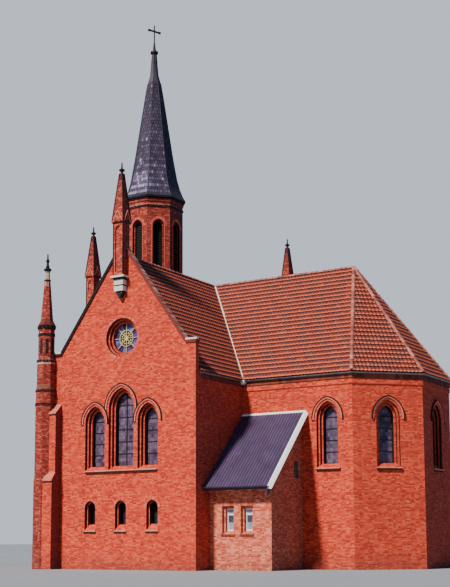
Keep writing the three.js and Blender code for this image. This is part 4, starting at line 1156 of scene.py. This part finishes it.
trim = Form("annex_flashing", WHITE, "white_paint")
annex_strip(trim, (HALF + 0.01, SHEET_EDGE + 0.03), (-HALF - 0.07, -HALF - 0.001), (0.02, 0.07))
trim.sweep([[(x, y, annex_top(y) + lift) for x, lift in BOXED_VERGE]
            for y in (ANNEX_EAVE_Y - 0.02, -HALF - 0.001)])
annex_gutter = Form("annex_gutter", SHEET, "sheet_metal")
annex_strip(annex_gutter, (ANNEX_VERGE - 0.03, SHEET_EDGE), (ANNEX_EAVE_Y - 0.01, -HALF - 0.002),
            (-0.008, 0.008))
gutter_path(annex_gutter, [(HALF + 0.02, ANNEX_EAVE_Y), (SHEET_EDGE, ANNEX_EAVE_Y)], ANNEX_EAVE_Z - 0.02)

# Each window's place, half width, foot, head and transom, with the tints of its panes from below
FRAME = 0.071
HALF_TRANSOM = 0.031
CURTAIN = 0.52
annex_places = [(on_wall(x, ANNEX_FRONT + 2 * STEP, 0), 0.24, 2.02, 3.18, 2.86, (0.8, 0.1, 0.9))
                for x in ANNEX_WINDOWS]
annex_places.append((on_wall(ANNEX_EAST - 0.14, -5.35, 90), 0.35, 4.8, 5.7, 5.43, (0.2, 0.05, 0.1)))
panes = Form("annex_panes", PANE, "window_glass")
for place, half, foot, head, transom, tints in annex_places:
    curtain = foot + CURTAIN * (transom - foot)
    heights = [(foot + FRAME, curtain), (curtain, transom - HALF_TRANSOM),
               (transom + HALF_TRANSOM, head - FRAME)]
    for height, tint in zip(heights, tints):
        panes.block((-half + FRAME, half - FRAME), (0.018, 0.0245), height, place, tint)

SOLDIER_PITCH = 0.084
LINTEL_Z = (3.305, 3.54)
ANNEX_SILL_Z = (1.745, 1.85)
lintels = Form("soldier_bricks", VOUSSOIR, "red_brick")
annex_sills = Form("annex_sill_bricks", SILL_BRICK, "red_brick")
for x in ANNEX_WINDOWS:
    for form, proud, heights in ((lintels, 0.006, LINTEL_Z), (annex_sills, 0.045, ANNEX_SILL_Z)):
        for i in range(10):
            left = x - 0.42 + i * SOLDIER_PITCH
            form.block((left + 0.004, left + 0.08), (ANNEX_FRONT - proud, ANNEX_FRONT + 0.03), heights,
                       tint=random.random())


# Sill ledges with dark strips under them as painted shade, and sloped bricks on the buttress with the same
# painted shade under each

GABLE_LEDGE = 2.38
SINGLE_LEDGE = 0.7
BUTTRESS_X = (-4.78, -4.115)
BUTTRESS_STAGES = ((-FRONT - 0.77, 4.89, -FRONT - 0.5, 5.25), (-FRONT - 0.5, 8.62, -FRONT, 9.08))
weatherings = Form("buttress_weatherings", WEATHERING, "red_brick")
ledges = Form("sill_ledges", HOOD_LIGHT, "red_brick")
shade_undersides = Form("sill_shade_strips", HOOD_DARK_AND_SHADE, "dark_brick")
for place, reach in [(place, GABLE_LEDGE) for place in GABLES] + [(place, SINGLE_LEDGE) for place in SINGLES]:
    ledges.block((-reach - 0.01, reach + 0.01), (-0.095, 0.04), (LEDGE_TOP - 0.04, LEDGE_TOP + 0.012), place)
    shade_undersides.block((-reach, reach), (-0.086, 0.02), (LEDGE_TOP - 0.125, LEDGE_TOP - 0.045), place)
for place, window in SMALLS:
    x = (window.x - 0.4, window.x + 0.4)
    ledges.block(x, (-0.06, 0.03), (SMALL_SILL - 0.045, SMALL_SILL + 0.008), place)
    shade_undersides.block(x, (-0.05, 0.02), (SMALL_SILL - 0.12, SMALL_SILL - 0.05), place)
for y0, z0, y1, z1 in BUTTRESS_STAGES:
    section = [(y0 - 0.045, z0 - 0.08), (y0 - 0.045, z0 - 0.015), (y1, z1 + 0.05), (y1, z1 - 0.02)]
    weatherings.sweep([[(x, y, z) for y, z in section] for x in BUTTRESS_X])
    shade_undersides.block(BUTTRESS_X, (y0 - 0.02, y0 + 0.02), (z0 - 0.155, z0 - 0.085))


# West door: boards, strap hinges and ring handles on the oak leaves

LEAF_RADIUS = 1.245
BOARD_PITCH = 0.1225
BOARD_WIDTH = 0.117
BOARD_DEPTHS = (0.382, 0.4005)
BOARD_FOOT = 0.32
HINGE_HEIGHTS = (0.75, 1.7, 2.65)
STRAP = [(0.97, -0.035), (0.35, -0.018), (0.25, 0.0), (0.35, 0.018), (0.97, 0.035)]
door_place = GABLES[2]
boards = Form("door_boards", OAK, "oak")
for sign in (-1, 1):
    for i in range(8):
        start = 0.012 + i * BOARD_PITCH
        low, high = sorted((sign * start, sign * (start + BOARD_WIDTH)))
        reach = max(abs(low), abs(high))
        top = DOOR.spring + sqrt(max(0.0, LEAF_RADIUS ** 2 - (reach + DOOR.spread) ** 2))
        boards.block((low, high), BOARD_DEPTHS, (BOARD_FOOT, top - 0.01), door_place, random.random())
straps = Form("door_ironwork", IRON, "iron")
for sign in (-1, 1):
    for z in HINGE_HEIGHTS:
        outline = [(sign * x, z + rise) for x, rise in STRAP]
        straps.prism(outline if sign < 0 else outline[::-1], 0.37, 0.383, door_place)
    ring_place = door_place @ Matrix.Translation((sign * 0.12, 0, 0))
    circle_band(straps, ring_place, 0.05, 0.012, 0.366, 0.38, steps=20, centre=1.45)


for form in Form.every:
    form.make()


# Camera, light and floor

PHOTO_HEIGHT = 587.0
FOCAL_PIXELS = 1140.059
SENSOR = 36.0
SHIFT_PIXELS = 100.0
EYE = (36.749, -58.845, 1.65)
YAW_PITCH_ROLL = (31.458, 7.232, -0.221)
SUN_FROM = (-0.15, -0.69, 0.7)
SKY_LIGHT = (0.078, 0.175, 0.31, 1.0)
SKY_SEEN = (0.66, 0.73, 0.85, 1.0)
FLOOR_R = 300


def camera_frame(yaw, pitch, roll):
    forward = Vector((-sin(yaw) * cos(pitch), cos(yaw) * cos(pitch), sin(pitch)))
    right = Vector((cos(yaw), sin(yaw), 0.0))
    up = right.cross(forward)
    tilted_right = right * cos(roll) + up * sin(roll)
    tilted_up = up * cos(roll) - right * sin(roll)
    return Matrix((tilted_right, tilted_up, -forward)).transposed()


camera_data = bpy.data.cameras.new("camera")
camera_data.sensor_width = SENSOR
camera_data.lens = FOCAL_PIXELS * SENSOR / PHOTO_HEIGHT
camera_data.shift_y = SHIFT_PIXELS / PHOTO_HEIGHT
camera_data.clip_end = 1000.0
camera = bpy.data.objects.new("camera", camera_data)
turned = camera_frame(*[radians(angle) for angle in YAW_PITCH_ROLL])
camera.matrix_world = Matrix.Translation(EYE) @ turned.to_4x4()
link(camera)
bpy.context.scene.camera = camera

sun_data = bpy.data.lights.new("key", "SUN")
sun_data.energy = 5.9
sun_data.angle = radians(6)
sun_data.color = (1.0, 0.94, 0.86)
sun = bpy.data.objects.new("key", sun_data)
sun.rotation_mode = "QUATERNION"
sun.rotation_quaternion = Vector(SUN_FROM).normalized().to_track_quat("Z", "Y")
link(sun)

# The sky lights the scene in a deeper blue than the camera sees
world = bpy.data.worlds.new("studio")
world.use_nodes = True
background = world.node_tree.nodes["Background"]
seen = world.node_tree.nodes.new("ShaderNodeLightPath").outputs["Is Camera Ray"]
sky = world.node_tree.nodes.new("ShaderNodeMix")
sky.data_type = "RGBA"
sky.inputs[6].default_value = SKY_LIGHT
sky.inputs[7].default_value = SKY_SEEN
world.node_tree.links.new(seen, sky.inputs[0])
world.node_tree.links.new(sky.outputs[2], background.inputs["Color"])
background.inputs["Strength"].default_value = 1.0
bpy.context.scene.world = world

floor_mesh = bpy.data.meshes.new("studio_floor")
rim = [(FLOOR_R * cos(a), FLOOR_R * sin(a), -0.002) for a in around(64)]
floor_mesh.from_pydata(rim, [], [tuple(range(64))])
floor_mesh.materials.append(weathered("studio_floor", "92959a", "8c8f94", "989ba0",
                                      (0.85, 0.95), 0.0, 0.05, 0.0005))
studio_floor = bpy.data.objects.new("studio_floor", floor_mesh)
link(studio_floor)
